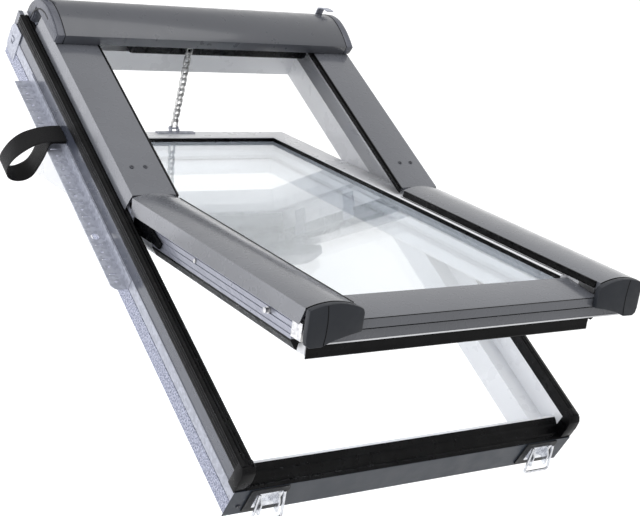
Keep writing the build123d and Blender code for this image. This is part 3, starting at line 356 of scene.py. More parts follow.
@dataclass(frozen=True)
class RubberSeal:
    """Black seal rubber with a fine grain and a soft sheen."""

    name: str
    colour: Colour
    gloss: float = 0.38

    def material(self) -> bpy.types.Material:
        """Build the material."""
        board = NodeBoard(self.name)
        shader = board.shader(self.gloss, 0.0, 0.0, 0.1, 0.10)
        dusty = tuple(min(1.0, 1.9 * c + 0.004) for c in self.colour)
        board.join(board.ramp(board.noise(30, 5), self.colour, dusty, 0.45, 0.8), shader.inputs["Base Color"])
        board.join(board.between(board.noise(70, 4), self.gloss - 0.08, self.gloss + 0.12),
                   shader.inputs["Roughness"])
        board.join(board.bump(board.noise(1300, 2), 0.18, 0.0003), shader.inputs["Normal"])
        return board.material


@dataclass(frozen=True)
class MouldedPlastic:
    """Injection-moulded plastic with spark-eroded grain."""

    name: str
    colour: Colour
    gloss: float = 0.46
    grain: float = 0.22

    def material(self) -> bpy.types.Material:
        """Build the material."""
        board = NodeBoard(self.name)
        shader = board.shader(self.gloss, 0.0, 0.0, 0.1, 0.28)
        dark = tuple(0.90 * c for c in self.colour)
        light = tuple(min(1.0, 1.08 * c) for c in self.colour)
        board.join(board.ramp(board.noise(14, 4), dark, light), shader.inputs["Base Color"])
        board.join(board.between(board.noise(90, 3), self.gloss - 0.05, self.gloss + 0.08),
                   shader.inputs["Roughness"])
        board.join(board.bump(board.noise(1700, 2), self.grain, 0.0003, 0.0008), shader.inputs["Normal"])
        return board.material


@dataclass(frozen=True)
class WhiteProfile:
    """White extruded plastic: a hint of draw marks along the slope and a very soft unevenness."""

    name: str
    colour: Colour

    def material(self) -> bpy.types.Material:
        """Build the material."""
        board = NodeBoard(self.name)
        shader = board.shader(0.30, 0.0, 0.15, 0.1)
        dull = tuple(0.955 * c for c in self.colour)
        board.join(board.ramp(board.noise(4, 4), dull, self.colour), shader.inputs["Base Color"])
        board.join(board.between(board.noise(26, 4), 0.24, 0.36), shader.inputs["Roughness"])
        board.join(board.bump(board.noise(500, 2, (1, 0.03, 1)), 0.04, 0.0002), shader.inputs["Normal"])
        return board.material


@dataclass(frozen=True)
class PolishedSteel:
    """Bright plated or plain steel with fine scratches."""

    name: str
    dark: Colour
    light: Colour
    gloss: float = 0.18

    def material(self) -> bpy.types.Material:
        """Build the material."""
        board = NodeBoard(self.name)
        shader = board.shader(self.gloss, 0.95)
        board.join(board.ramp(board.noise(120, 5), self.dark, self.light), shader.inputs["Base Color"])
        board.join(board.between(board.noise(300, 4), self.gloss - 0.05, self.gloss + 0.12),
                   shader.inputs["Roughness"])
        board.join(board.bump(board.noise(900, 2), 0.06, 0.0001, 0.0003), shader.inputs["Normal"])
        return board.material


@dataclass(frozen=True)
class WovenBelt:
    """Black polyester belt: ribs across the strap, crossed by a fine twill."""

    name: str
    dark: Colour
    light: Colour

    def material(self) -> bpy.types.Material:
        """Build the material. The weave follows the belt's own UV map."""
        board = NodeBoard(self.name)
        shader = board.shader(0.55, 0.0, 0.0, 0.1, 0.12)
        shader.inputs["Sheen Weight"].default_value = 0.05
        place = board.add("ShaderNodeUVMap", uv_map="belt").outputs["UV"]
        ribs = board.add("ShaderNodeTexWave", wave_type="BANDS", bands_direction="X")
        ribs.inputs["Scale"].default_value = 75
        ribs.inputs["Distortion"].default_value = 0.5
        twill = board.add("ShaderNodeTexWave", wave_type="BANDS", bands_direction="DIAGONAL")
        twill.inputs["Scale"].default_value = 26
        board.join(place, ribs.inputs["Vector"])
        board.join(place, twill.inputs["Vector"])
        both = board.add("ShaderNodeMath", operation="MULTIPLY")
        board.join(ribs.outputs["Fac"], both.inputs[0])
        board.join(twill.outputs["Fac"], both.inputs[1])
        board.join(board.ramp(both.outputs[0], self.dark, self.light, 0.1, 0.9), shader.inputs["Base Color"])
        board.join(board.bump(both.outputs[0], 0.5, 0.0006), shader.inputs["Normal"])
        return board.material


@dataclass(frozen=True)
class PaneGlass:
    """Clear float glass with a faint tint, which lets shadow rays through."""

    name: str
    tint: Colour

    def material(self) -> bpy.types.Material:
        """Build the material."""
        board = NodeBoard(self.name)
        shader = board.shader(0.02)
        shader.inputs["Base Color"].default_value = (*self.tint, 1)
        shader.inputs["Transmission Weight"].default_value = 1.0
        shader.inputs["IOR"].default_value = 1.45
        board.join(board.between(board.noise(9, 3), 0.0, 0.03), shader.inputs["Roughness"])
        clear = board.add("ShaderNodeBsdfTransparent")
        clear.inputs["Color"].default_value = (*self.tint, 1)
        ray = board.add("ShaderNodeLightPath")
        mix = board.add("ShaderNodeMixShader")
        board.join(ray.outputs["Is Shadow Ray"], mix.inputs[0])
        board.join(shader.outputs["BSDF"], mix.inputs[1])
        board.join(clear.outputs["BSDF"], mix.inputs[2])
        board.join(mix.outputs["Shader"], board.output.inputs["Surface"])
        return board.material


FINISHES = {
    "white_pvc": WhiteProfile("white_profile", screen_colour(234, 235, 238)),
    "foil_foam": FoilFoam("foil_foam", screen_colour(104, 107, 126), screen_colour(184, 188, 206)),
    "galvanised": GalvanisedSteel(
        "galvanised_steel", screen_colour(152, 155, 166), screen_colour(178, 181, 192), 180.0, 0.22),
    "channel_grey": BrushedAluminium(
        "drawn_aluminium", screen_colour(58, 62, 73), screen_colour(74, 78, 91), 0.2, 0.26),
    "slate_sheet": PaintedSheet("slate_sheet", screen_colour(34, 41, 52), 0.38, 0.0),
    "grey_sheet": PaintedSheet("grey_enamel", screen_colour(90, 92, 98), 0.26, 0.55),
    "charcoal_plastic": MouldedPlastic("charcoal_cap", screen_colour(32, 35, 41)),
    "cheek_plastic": MouldedPlastic("cheek_cap", screen_colour(84, 86, 94), 0.26, 0.06),
    "black_rubber": RubberSeal("seal_rubber", screen_colour(5, 5, 6), 0.30),
    "black_metal": RubberSeal("black_enamel", screen_colour(9, 10, 12), 0.26),
    "black_plastic": MouldedPlastic("black_plastic", screen_colour(20, 21, 24)),
    "brake_lining": MouldedPlastic("brake_lining", screen_colour(70, 66, 60), 0.7),
    "chain_steel": PolishedSteel(
        "chain_steel", screen_colour(150, 150, 152), screen_colour(206, 205, 203), 0.28),
    "bright_steel": PolishedSteel(
        "bright_steel", screen_colour(188, 190, 196), screen_colour(236, 238, 242), 0.14),
    "webbing": WovenBelt("black_belt", screen_colour(5, 5, 6), screen_colour(22, 22, 24)),
    "pane_glass": PaneGlass("pane_glass", (0.965, 0.985, 1.0)),
    "hood_enamel": PaintedSheet("hood_enamel", screen_colour(66, 68, 74), 0.30, 0.35),
    "silver_profile": BrushedAluminium(
        "silver_profile", screen_colour(112, 114, 126), screen_colour(146, 148, 160), 0.4, 0.3),
    "burnished_steel": PolishedSteel(
        "burnished_steel", screen_colour(46, 47, 51), screen_colour(82, 83, 88), 0.34),
    "spacer_metal": BrushedAluminium(
        "spacer_bar", screen_colour(170, 174, 180), screen_colour(212, 216, 222)),
}


class Bench:
    """Modelling steps that the sub-assemblies share."""

    @staticmethod
    def clear() -> None:
        """Leave edit mode and deselect everything."""
        if bpy.context.object and bpy.context.object.mode != "OBJECT":
            bpy.ops.object.mode_set(mode="OBJECT")
        bpy.ops.object.select_all(action="DESELECT")

    @staticmethod
    def take(piece: bpy.types.Object) -> None:
        """Make one piece the only selected and active object."""
        Bench.clear()
        piece.select_set(True)
        bpy.context.view_layer.objects.active = piece

    @staticmethod
    def settle(piece: bpy.types.Object) -> None:
        """Put a piece's place into its mesh, so that its object sits at the origin."""
        Bench.take(piece)
        bpy.ops.object.transform_apply(location=True, rotation=True, scale=True)

    @staticmethod
    def modify(piece: bpy.types.Object, kind: str, **settings: object) -> None:
        """Add a modifier and apply it.

        Args:
            piece: The piece.
            kind: Blender's name of the modifier.
            **settings: Its settings.
        """
        Bench.take(piece)
        modifier = piece.modifiers.new(kind.lower(), kind)
        for key, value in settings.items():
            setattr(modifier, key, value)
        bpy.ops.object.modifier_apply(modifier=modifier.name)

    @staticmethod
    def box(name: str, low: Sequence[float], high: Sequence[float], edge: float = 0.0004) -> bpy.types.Object:
        """A block between two corners with eased edges.

        Args:
            name: Name of the piece.
            low: Lowest corner.
            high: Highest corner.
            edge: Width of the eased edges.

        Returns:
            The piece.
        """
        Bench.clear()
        middle = [(a + b) / 2 for a, b in zip(low, high)]
        bpy.ops.mesh.primitive_cube_add(size=1, location=middle)
        piece = bpy.context.object
        piece.name = name
        piece.scale = [b - a for a, b in zip(low, high)]
        Bench.settle(piece)
        if edge:
            Bench.modify(piece, "BEVEL", width=edge, segments=2, limit_method="ANGLE")
        return piece

    @staticmethod
    def run(name: str, outline: Sequence[tuple[float, float]], start: float, end: float,
            along: str = "Y", edge: float = 0.0) -> bpy.types.Object:
        """A straight length of a profile, made from a many-sided face that is drawn out.

        Args:
            name: Name of the piece.
            outline: Corners of the section, as (x, z) along Y or (y, z) along X.
            start: Where the length starts on its axis.
            end: Where it ends.
            along: The axis of the length, X or Y.
            edge: Width of the eased edges.

        Returns:
            The piece.
        """
        Bench.clear()
        bpy.ops.mesh.primitive_circle_add(vertices=len(outline), radius=1, fill_type="NGON")
        piece = bpy.context.object
        piece.name = name
        for vertex, (a, b) in zip(piece.data.vertices, outline):
            vertex.co = (a, start, b) if along == "Y" else (start, a, b)
        step = (0, end - start, 0) if along == "Y" else (end - start, 0, 0)
        bpy.ops.object.mode_set(mode="EDIT")
        bpy.ops.mesh.select_all(action="SELECT")
        bpy.ops.mesh.extrude_region_move(TRANSFORM_OT_translate={"value": step})
        bpy.ops.mesh.select_all(action="SELECT")
        bpy.ops.mesh.normals_make_consistent(inside=False)
        bpy.ops.object.mode_set(mode="OBJECT")
        if edge:
            Bench.modify(piece, "BEVEL", width=edge, segments=2, limit_method="ANGLE", angle_limit=0.5)
        return piece

    @staticmethod
    def copy(piece: bpy.types.Object, place: Matrix, name: str) -> bpy.types.Object:
        """Copy a piece with its own mesh, set in a new place.

        Args:
            piece: The piece to copy.
            place: Where the copy goes.
            name: Name of the copy.

        Returns:
            The copy.
        """
        twin = piece.copy()
        twin.data = piece.data.copy()
        twin.name = name
        bpy.context.scene.collection.objects.link(twin)
        twin.data.transform(place)
        if place.determinant() < 0:
            twin.data.flip_normals()
        return twin

    @staticmethod
    def join(pieces: Sequence[bpy.types.Object], name: str) -> bpy.types.Object:
        """Join pieces into one."""
        Bench.take(pieces[0])
        for piece in pieces[1:]:
            piece.select_set(True)
        bpy.ops.object.join()
        joined = bpy.context.object
        joined.name = name
        return joined

    @staticmethod
    def smooth(piece: bpy.types.Object, angle: float = 35) -> None:
        """Shade a piece smooth up to an angle in degrees."""
        Bench.take(piece)
        bpy.ops.object.shade_smooth_by_angle(angle=math.radians(angle))

    @staticmethod
    def dress(piece: bpy.types.Object, slot: str, body: Body, *stands_for: str) -> bpy.types.Object:
        """Give a piece its finish and its body.

        Args:
            piece: The piece.
            slot: Material slot of the record.
            body: Body that it rides on.
            *stands_for: CAD nodes that it replaces.

        Returns:
            The piece.
        """
        piece.data.materials.clear()
        piece.data.materials.append(Wardrobe.material(Wardrobe.special.get(piece.name, slot)))
        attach(piece, body.value)
        if stands_for:
            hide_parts(*stands_for)
        return piece


class Wardrobe:
    """Keeps one material per finish, with a finish of its own for some pieces, and dresses the solids."""

    made: dict[str, bpy.types.Material] = {}
    special: dict[str, str] = {"sash_side_left": "silver_profile", "sash_side_right": "silver_profile",
               "hood_sheet": "hood_enamel", "frame_screw_heads": "burnished_steel"}

    @classmethod
    def material(cls, slot: str) -> bpy.types.Material:
        """The material of a slot, built on first use."""
        if slot not in cls.made:
            cls.made[slot] = FINISHES[slot].material()
        return cls.made[slot]

    @classmethod
    def dress_nodes(cls) -> None:
        """Give every carried-over solid its finish and smooth its rounds."""
        slots = {row["node"]: row["material_slot"] for row in frame["record"]["subparts"]}
        for name, node in frame["nodes"].items():
            node.data.materials.clear()
            node.data.materials.append(cls.material(cls.special.get(name, slots[name])))
            node.data.polygons.foreach_set("use_smooth", [True] * len(node.data.polygons))
            weld = node.modifiers.new("weld", "WELD")
            weld.merge_threshold = 0.00002
            split = node.modifiers.new("split", "EDGE_SPLIT")
            split.split_angle = math.radians(28)
        LOG.info("dressed %d solids", len(frame["nodes"]))


@dataclass
class DriveChain:
    """The push chain between the opener and the sash, slightly bowed by its own stiffness."""

    start: Point = (0.010, 0.5197, 0.087)
    end: Point = (0.010, 0.4620, -0.0866)
    links: int = 15
    width: float = 0.014
    plate: float = 0.0016
    radius: float = 0.0042
    bow: float = 0.0002
    retreat: float = 0.020

    def link_mesh(self, pitch: float, half: float) -> bpy.types.Object:
        """Model one link: two waisted side plates and a roller.

        Args:
            pitch: Length between its pins.
            half: Half the distance between the outer faces of its plates.

        Returns:
            The link, drawn along Y from the origin.
        """
        plates = []
        for sign in (-1, 1):
            Bench.clear()
            bpy.ops.mesh.primitive_cylinder_add(vertices=18, radius=self.radius, depth=self.plate,
                                                location=(sign * (half - self.plate / 2), 0, 0),
                                                rotation=(0, math.pi / 2, 0))
            plate = bpy.context.object
            Bench.settle(plate)
            for vertex in plate.data.vertices:
                if vertex.co.y > 1e-6:
                    vertex.co.y += pitch
            Bench.modify(plate, "BEVEL", width=0.0003, segments=2, limit_method="ANGLE")
            plates.append(plate)
        roller = (0.0030, half - self.plate - 0.0002, 0.0004)
        pin_size = (0.0020, self.width / 2, 0.0005)
        for radius, reach, bite in (roller, pin_size):
            Bench.clear()
            bpy.ops.mesh.primitive_cylinder_add(vertices=14, radius=radius, depth=2 * reach,
                                                rotation=(0, math.pi / 2, 0))
            pin = bpy.context.object
            Bench.settle(pin)
            Bench.modify(pin, "BEVEL", width=bite, segments=2, limit_method="ANGLE")
            plates.append(pin)
        return Bench.join(plates, "chain_link")

    def build(self) -> bpy.types.Object:
        """Build the chain.

        Returns:
            The chain.
        """
        start, end = Vector(self.start), Vector(self.end)
        run = end - start
        side = run.cross(Vector((1, 0, 0))).normalized()

        def point(share: float) -> Vector:
            """A point on the bowed centre line."""
            return start + run * share + side * (self.bow * math.sin(math.pi * share))

        pitch = run.length / self.links
        outer = self.link_mesh(pitch, self.width / 2 - 0.0002)
        inner = self.link_mesh(pitch, self.width / 2 - self.plate - 0.0006)
        parts = []
        for index in range(self.links):
            a, b = point(index / self.links), point((index + 1) / self.links)
            ahead = (b - a).normalized()
            across = Vector((1, 0, 0))
            up = across.cross(ahead)
            place = Matrix((across, ahead, up)).transposed().to_4x4()
            place.translation = a
            parts.append(Bench.copy(inner if index % 2 else outer, place, f"chain_link_{index}"))
        for pattern in (outer, inner):
            bpy.data.objects.remove(pattern)
        chain = Bench.join(parts, "push_chain")
        Bench.smooth(chain)
        Bench.dress(chain, "chain_steel", Body.FRAME, "drive_chain")
        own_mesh(chain)
        return chain


@dataclass
class LiftingStrap:
    """Loop of black belt on the left side of the frame."""

    wall_x: float = -0.370
    middle_y: float = 0.264
    width: float = 0.044
    thickness: float = 0.0021
    line: tuple[tuple[float, float], ...] = field(default=(
        (0.000, 0.0680), (0.022, 0.0672), (0.044, 0.0652), (0.064, 0.0572), (0.080, 0.0450), (0.094, 0.0270),
        (0.1015, 0.0080), (0.1030, -0.0090), (0.0975, -0.0240), (0.086, -0.0330), (0.071, -0.0362),
        (0.056, -0.0310), (0.045, -0.0200), (0.0395, 0.0000), (0.0365, 0.0220), (0.0350, 0.0430),
        (0.0340, 0.0560), (0.0270, 0.0626), (0.0140, 0.0630), (0.0000, 0.0630)))

    def centre_line(self, rounds: int = 2) -> list[tuple[float, float]]:
        """The loop's centre line with its corners cut until it is smooth."""
        line = list(self.line)
        for _ in range(rounds):
            cut = [line[0]]
            for (ax, az), (bx, bz) in zip(line, line[1:]):
                cut.append((0.75 * ax + 0.25 * bx, 0.75 * az + 0.25 * bz))
                cut.append((0.25 * ax + 0.75 * bx, 0.25 * az + 0.75 * bz))
            line = cut + [line[-1]]
        return line

    def build(self) -> bpy.types.Object:
        """Build the loop from a grid that is laid along its line.

        Returns:
            The strap.
        """
        line = self.centre_line()
        across = 8
        Bench.clear()
        bpy.ops.mesh.primitive_grid_add(x_subdivisions=len(line) - 1, y_subdivisions=across, size=1)
        strap = bpy.context.object
        strap.name = "belt_loop"
        uv = strap.data.uv_layers[0]
        uv.name = "belt"
        columns = len(line)
        for index, vertex in enumerate(strap.data.vertices):
            row, column = divmod(index, columns)
            share = row / across - 0.5
            out, up = line[column]
            droop = 0.0012 * math.sin(3.1 * column / 7) * share
            vertex.co = (self.wall_x - out - droop, self.middle_y + self.width * share, up + droop)
        Bench.modify(strap, "SOLIDIFY", thickness=self.thickness, offset=0.0)
        Bench.modify(strap, "BEVEL", width=0.0005, segments=2, limit_method="ANGLE")
        Bench.smooth(strap, 50)
        return Bench.dress(strap, "webbing", Body.FRAME, "lifting_strap")


@dataclass
class HoodShell:
    """The top hood: a folded front lip, a low dome and a quarter round, closed by two moulded ends."""

    half_width: float = 0.338
    cap_width: float = 0.019
    lip_y: float = 0.430
    lip_low: float = 0.1555
    fold_z: float = 0.1760
    crown_y: float = 0.500
    crown_z: float = 0.1900
    back_y: float = 0.5760
    back_low: float = 0.1060
    round_z: float = 0.1220
    sheet: float = 0.0015
    foot_y: float = 0.544
    foot_z: float = 0.1180
    rise_steps: int = 8
    round_steps: int = 20
    step_depth: float = 0.0030
    seam_shares: tuple[float, float] = (0.79, 0.745)

    def curve(self, inset: float = 0.0) -> list[tuple[float, float]]:
        """Outer line of the hood from its fold to its back, drawn in by an inset.

        Args:
            inset: Distance inside the outer skin.

        Returns:
            Points as (y, z).
        """
        points = []
        for step in range(self.rise_steps + 1):
            t = step / self.rise_steps
            rise = 1 - (1 - t) ** 2
            points.append((self.lip_y + t * (self.crown_y - self.lip_y),
                           self.fold_z + rise * (self.crown_z - self.fold_z)))
        depth, height = self.back_y - self.crown_y, self.crown_z - self.round_z
        for step in range(1, self.round_steps + 1):
            angle = math.pi / 2 * step / self.round_steps
            points.append((self.crown_y + depth * math.sin(angle),
                           self.round_z + height * math.cos(angle)))
        if not inset:
            return points
        drawn = []
        for index, (y, z) in enumerate(points):
            before, after = points[max(index - 1, 0)], points[min(index + 1, len(points) - 1)]
            dy, dz = after[0] - before[0], after[1] - before[1]
            length = math.hypot(dy, dz)
            drawn.append((y + inset * dz / length, z - inset * dy / length))
        return drawn

    def shell(self) -> bpy.types.Object:
        """The folded sheet between the two ends."""
        skin = [(self.lip_y + 0.009, self.lip_low), (self.lip_y, self.lip_low)] + self.curve()
        skin.append((self.back_y, self.back_low))
        lining = [(self.back_y - self.sheet, self.back_low)] + self.curve(self.sheet)[::-1]
        lining[-1] = (self.lip_y + self.sheet, self.fold_z - self.sheet / 2)
        lining += [(self.lip_y + self.sheet, self.lip_low + self.sheet),
                   (self.lip_y + 0.009, self.lip_low + self.sheet)]
        hood = Bench.run("hood_sheet", skin + lining, -self.half_width, self.half_width, "X", 0.0003)
        Bench.smooth(hood, 25)
        return Bench.dress(hood, "grey_sheet", Body.FRAME, "hood")

    def end(self, side: Side) -> bpy.types.Object:
        """One moulded end with a stepped rim."""
        parts = []
        outer = self.half_width + self.cap_width
        step = outer - self.step_depth
        rims = ((0.0, self.half_width + 0.0003, step, "rim"), (0.0016, step, outer, "face"))
        for inset, start, stop, label in rims:
            outline = [(self.lip_y + 0.001 + inset, self.lip_low + inset)] + self.curve(max(inset, 0.0002))
            foot = self.foot_y + inset
            outline += [(self.back_y - inset, self.foot_z + inset), (foot, self.foot_z + inset),
                        (foot, self.lip_low + inset)]
            parts.append(Bench.run(f"hood_end_{label}", outline, start, stop, "X", 0.0006))
        end = Bench.join(parts, f"hood_end_{side.name.lower()}")
        if side is Side.LEFT:
            end.data.transform(Matrix.Scale(-1, 4, (1, 0, 0)))
            end.data.flip_normals()
        Bench.smooth(end, 25)
        return Bench.dress(end, "cheek_plastic", Body.FRAME, f"hood_cap_{side.name.lower()}")

    def seam(self, side: Side) -> bpy.types.Object:
        """The dark joint line round the cheek, with its small catch below."""
        face = self.half_width + self.cap_width
        depth, height = self.back_y - self.crown_y, self.crown_z - self.round_z
        outline = []
        angles = [math.pi / 2 * step / 16 for step in range(-2, 17)]
        for share, order in zip(self.seam_shares, (1, -1)):
            arc = [(self.crown_y - 0.006 + share * depth * math.sin(a),
                    self.round_z + share * height * math.cos(a)) for a in angles]
            outline += arc[::order]
        line = Bench.run(f"cheek_seam_{side.name.lower()}", outline, face - 0.0010, face + 0.0004, "X")
        catch = Bench.box("catch", (face - 0.001, self.crown_y + 0.032, self.round_z + 0.030),
                          (face + 0.0003, self.crown_y + 0.034, self.round_z + 0.038))
        seam = Bench.join([line, catch], f"cheek_seam_{side.name.lower()}")
        if side is Side.LEFT:
            seam.data.transform(Matrix.Scale(-1, 4, (1, 0, 0)))
            seam.data.flip_normals()
        return Bench.dress(seam, "black_rubber", Body.FRAME)

    def cap_joint(self, side: Side) -> bpy.types.Object:
        """The dark gap between the sheet and a moulded end."""
        outline = [(self.lip_y, self.lip_low)] + self.curve() + [(self.back_y, self.foot_z)]
        deep = self.step_depth
        outline += [(self.back_y - deep, self.foot_z)] + self.curve(deep)[::-1]
        outline.append((self.lip_y + deep, self.lip_low))
        near = side.value * (self.half_width - 0.0002)
        low, high = sorted((near, near + side.value * 0.0016))
        gap = Bench.run(f"hood_joint_{side.name.lower()}", [(y + 0.0002, z + 0.0003) for y, z in outline],
                        low, high, "X")
        return Bench.dress(gap, "black_rubber", Body.FRAME)

    def build(self) -> list[bpy.types.Object]:
        """Build the hood and both ends."""
        made = [self.shell()]
        for side in Side:
            made += [self.end(side), self.seam(side), self.cap_joint(side)]
        return made


@dataclass
class RidgeSeals:
    """Black sealing strips that show along the frame: ridge lips, cladding edges and moulded corners."""

    channel_x: float = 0.3690
    low_y: float = -0.5760
    high_y: float = 0.5720
    cladding_low: float = 0.0035
    cladding_high: float = 0.5200

    def mirrored(self, outline: Iterable[tuple[float, float]], side: Side) -> list[tuple[float, float]]:
        """Put a right-hand section on a side."""
        return [(side.value * x, z) for x, z in outline]

    def ridge_lip(self, side: Side) -> bpy.types.Object:
        """Outer lip of the ridge gasket with four ribs, hanging over the channel."""
        x = self.channel_x
        outline = [(x + 0.0001, 0.0908), (x + 0.0012, 0.0902), (x + 0.0022, 0.0930), (x + 0.0010, 0.0956),
                   (x + 0.0010, 0.0980), (x + 0.0022, 0.1002), (x + 0.0010, 0.1026),
                   (x + 0.0010, 0.1048), (x + 0.0022, 0.1066), (x + 0.0010, 0.1086), (x + 0.0010, 0.1108),
                   (x + 0.0022, 0.1128), (x + 0.0010, 0.1146), (x - 0.0040, 0.1152), (x - 0.0040, 0.1128),
                   (x + 0.0001, 0.1126)]
        lip = Bench.run(f"ridge_lip_{side.name.lower()}", self.mirrored(outline, side),
                        self.low_y, self.high_y)
        Bench.smooth(lip, 50)
        return Bench.dress(lip, "black_rubber", Body.FRAME)

    def cladding_edge(self, side: Side) -> bpy.types.Object:
        """Double bead along the inner edge of an upper cladding."""
        outline = [(0.2619, 0.1440), (0.2619, 0.1534), (0.2604, 0.1542), (0.2588, 0.1534), (0.2586, 0.1500),
                   (0.2574, 0.1496), (0.2566, 0.1510), (0.2552, 0.1506), (0.2548, 0.1440)]
        edge = Bench.run(f"cladding_edge_{side.name.lower()}", self.mirrored(outline, side),
                         self.cladding_low, self.cladding_high)
        Bench.smooth(edge, 50)
        return Bench.dress(edge, "black_rubber", Body.FRAME)

    def corner(self, side: Side) -> bpy.types.Object:
        """Moulded corner at the lower end of a ridge gasket, with a stepped heel."""
        body = [(-0.5640, 0.0600), (-0.5640, 0.1140), (-0.5795, 0.1130), (-0.5860, 0.1050), (-0.5884, 0.0900),
                (-0.5884, 0.0600)]
        heel = [(-0.5600, 0.1120), (-0.5600, 0.1162), (-0.5730, 0.1160), (-0.5790, 0.1120), (-0.5790, 0.1080)]
        parts = []
        for label, outline, start, stop in (("body", body, 0.3452, 0.3712), ("heel", heel, 0.3500, 0.3640)):
            low, high = sorted((side.value * start, side.value * stop))
            parts.append(Bench.run(f"corner_{label}", outline, low, high, "X", 0.0016))
        corner = Bench.join(parts, f"corner_boot_{side.name.lower()}")
        Bench.smooth(corner, 40)
        return Bench.dress(corner, "black_rubber", Body.FRAME)

    def build(self) -> list[bpy.types.Object]:
        """Build the strips on both sides."""
        strips, corners = [], []
        for side in Side:
            strips += [self.ridge_lip(side), self.cladding_edge(side)]
            corners.append(self.corner(side))
        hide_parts("gasket_corners")
        return strips + corners


@dataclass
class SashTrim:
    """Moulded end caps, joint lines and edge beads of the sash, with a shade line painted along its apron's
    fold, drawn as if it were closed.
    """

    front: float = -0.6000
    back: float = -0.5885
    crease: float = 0.0177
    crown: float = 0.0083
    inner: float = 0.2620
    outer: float = 0.3535
    hinge_end: float = -0.020
    apron_start: float = -0.508

    def arc(self, drop: float = 0.0, inset: float = 0.0) -> list[tuple[float, float]]:
        """Crowned line over a cladding's width, from its outer to its inner edge.

        Args:
            drop: Distance below the crown.
            inset: Distance inside both edges.

        Returns:
            Points as (x, z).
        """
        points = []
        for step in range(15):
            share = step / 14
            x = self.outer - inset - share * (self.outer - self.inner - 2 * inset)
            points.append((x, self.crease - drop + self.crown * (1 - (2 * share - 1) ** 2)))
        return points

    def place(self, piece: bpy.types.Object, side: Side, slot: str, *stands_for: str) -> bpy.types.Object:
        """Swing a piece that was drawn on the closed right-hand side to its side of the open sash."""
        if side is Side.LEFT:
            piece.data.transform(Matrix.Scale(-1, 4, (1, 0, 0)))
            piece.data.flip_normals()
        piece.data.transform(opened_frame())
        Bench.smooth(piece, 40)
        return Bench.dress(piece, slot, Body.SASH, *stands_for)

    def cap(self, side: Side) -> bpy.types.Object:
        """End cap: an inner block, an outer skirt and a tongue that enters the cladding."""
        outline = self.arc() + [(0.2530, 0.0138), (0.2500, 0.0070), (0.2500, -0.0240), (0.2720, -0.0280),
                                (0.3000, -0.0350), (0.3180, -0.0415), (0.3230, -0.0440), (0.3440, -0.0444),
                                (0.3510, -0.0400), (0.3532, -0.0300)]
        face = Bench.run("cap_face", outline, self.front, self.back, "Y", 0.0022)
        tongue = Bench.run("cap_tongue", self.arc(0.0025, 0.0025) + [(0.2650, 0.0080), (0.3510, 0.0080)],
                           self.back - 0.001, self.back + 0.0125, "Y", 0.0006)
        cap = Bench.join([face, tongue], f"end_cap_{side.name.lower()}")
        return self.place(cap, side, "charcoal_plastic", f"cladding_cap_{side.name.lower()}")

    def lines(self, side: Side) -> bpy.types.Object:
        """Dark joints on the cap's face and behind it, and the bead along the glass side of the cladding."""
        seam = [(0.3195, -0.0410), (0.3176, -0.0250), (0.3172, -0.0050), (0.3186, 0.0120), (0.3205, 0.0235)]
        front = Bench.run("cap_seam", seam + [(x + 0.0015, z) for x, z in reversed(seam)],
                          self.front - 0.0003, self.front + 0.0012)
        ring = Bench.run("cap_joint", self.arc(-0.0003) + self.arc(0.0030)[::-1],
                         self.back, self.back + 0.0011)
        bead = Bench.run("edge_bead", [(0.2618, 0.0062), (0.2618, 0.0176), (0.2600, 0.0184), (0.2584, 0.0174),
                                       (0.2584, 0.0120), (0.2570, 0.0100), (0.2570, 0.0062)],
                         -0.578, self.hinge_end)
        groove = Bench.run("edge_groove",
                           [(0.2530, 0.0058), (0.2530, 0.0066), (0.2516, 0.0066), (0.2516, 0.0058)],
                           self.apron_start, self.hinge_end)
        return self.place(Bench.join([front, ring, bead, groove], f"sash_joints_{side.name.lower()}"),
                          side, "black_rubber")

    def apron_lines(self) -> list[bpy.types.Object]:
        """Dark line painted as shade along the apron's fold, and the pale strip that holds the lip gasket."""
        # black strip that paints shade along the apron's fold; the fold is one bent sheet, not a joint
        fold = Bench.box("fold_shade_line", (-0.2602, -0.5882, -0.0090), (0.2602, -0.5870, -0.0078), 0.0002)
        strip = Bench.box("gasket_strip", (-0.3318, -0.5800, -0.0486), (0.3318, -0.5786, -0.0462), 0.0003)
        return [self.place(fold, Side.RIGHT, "black_rubber"), self.place(strip, Side.RIGHT, "white_pvc")]

    def build(self) -> list[bpy.types.Object]:
        """Build both sides and the apron's lines."""
        made = self.apron_lines()
        for side in Side:
            made += [self.cap(side), self.lines(side)]
        return made


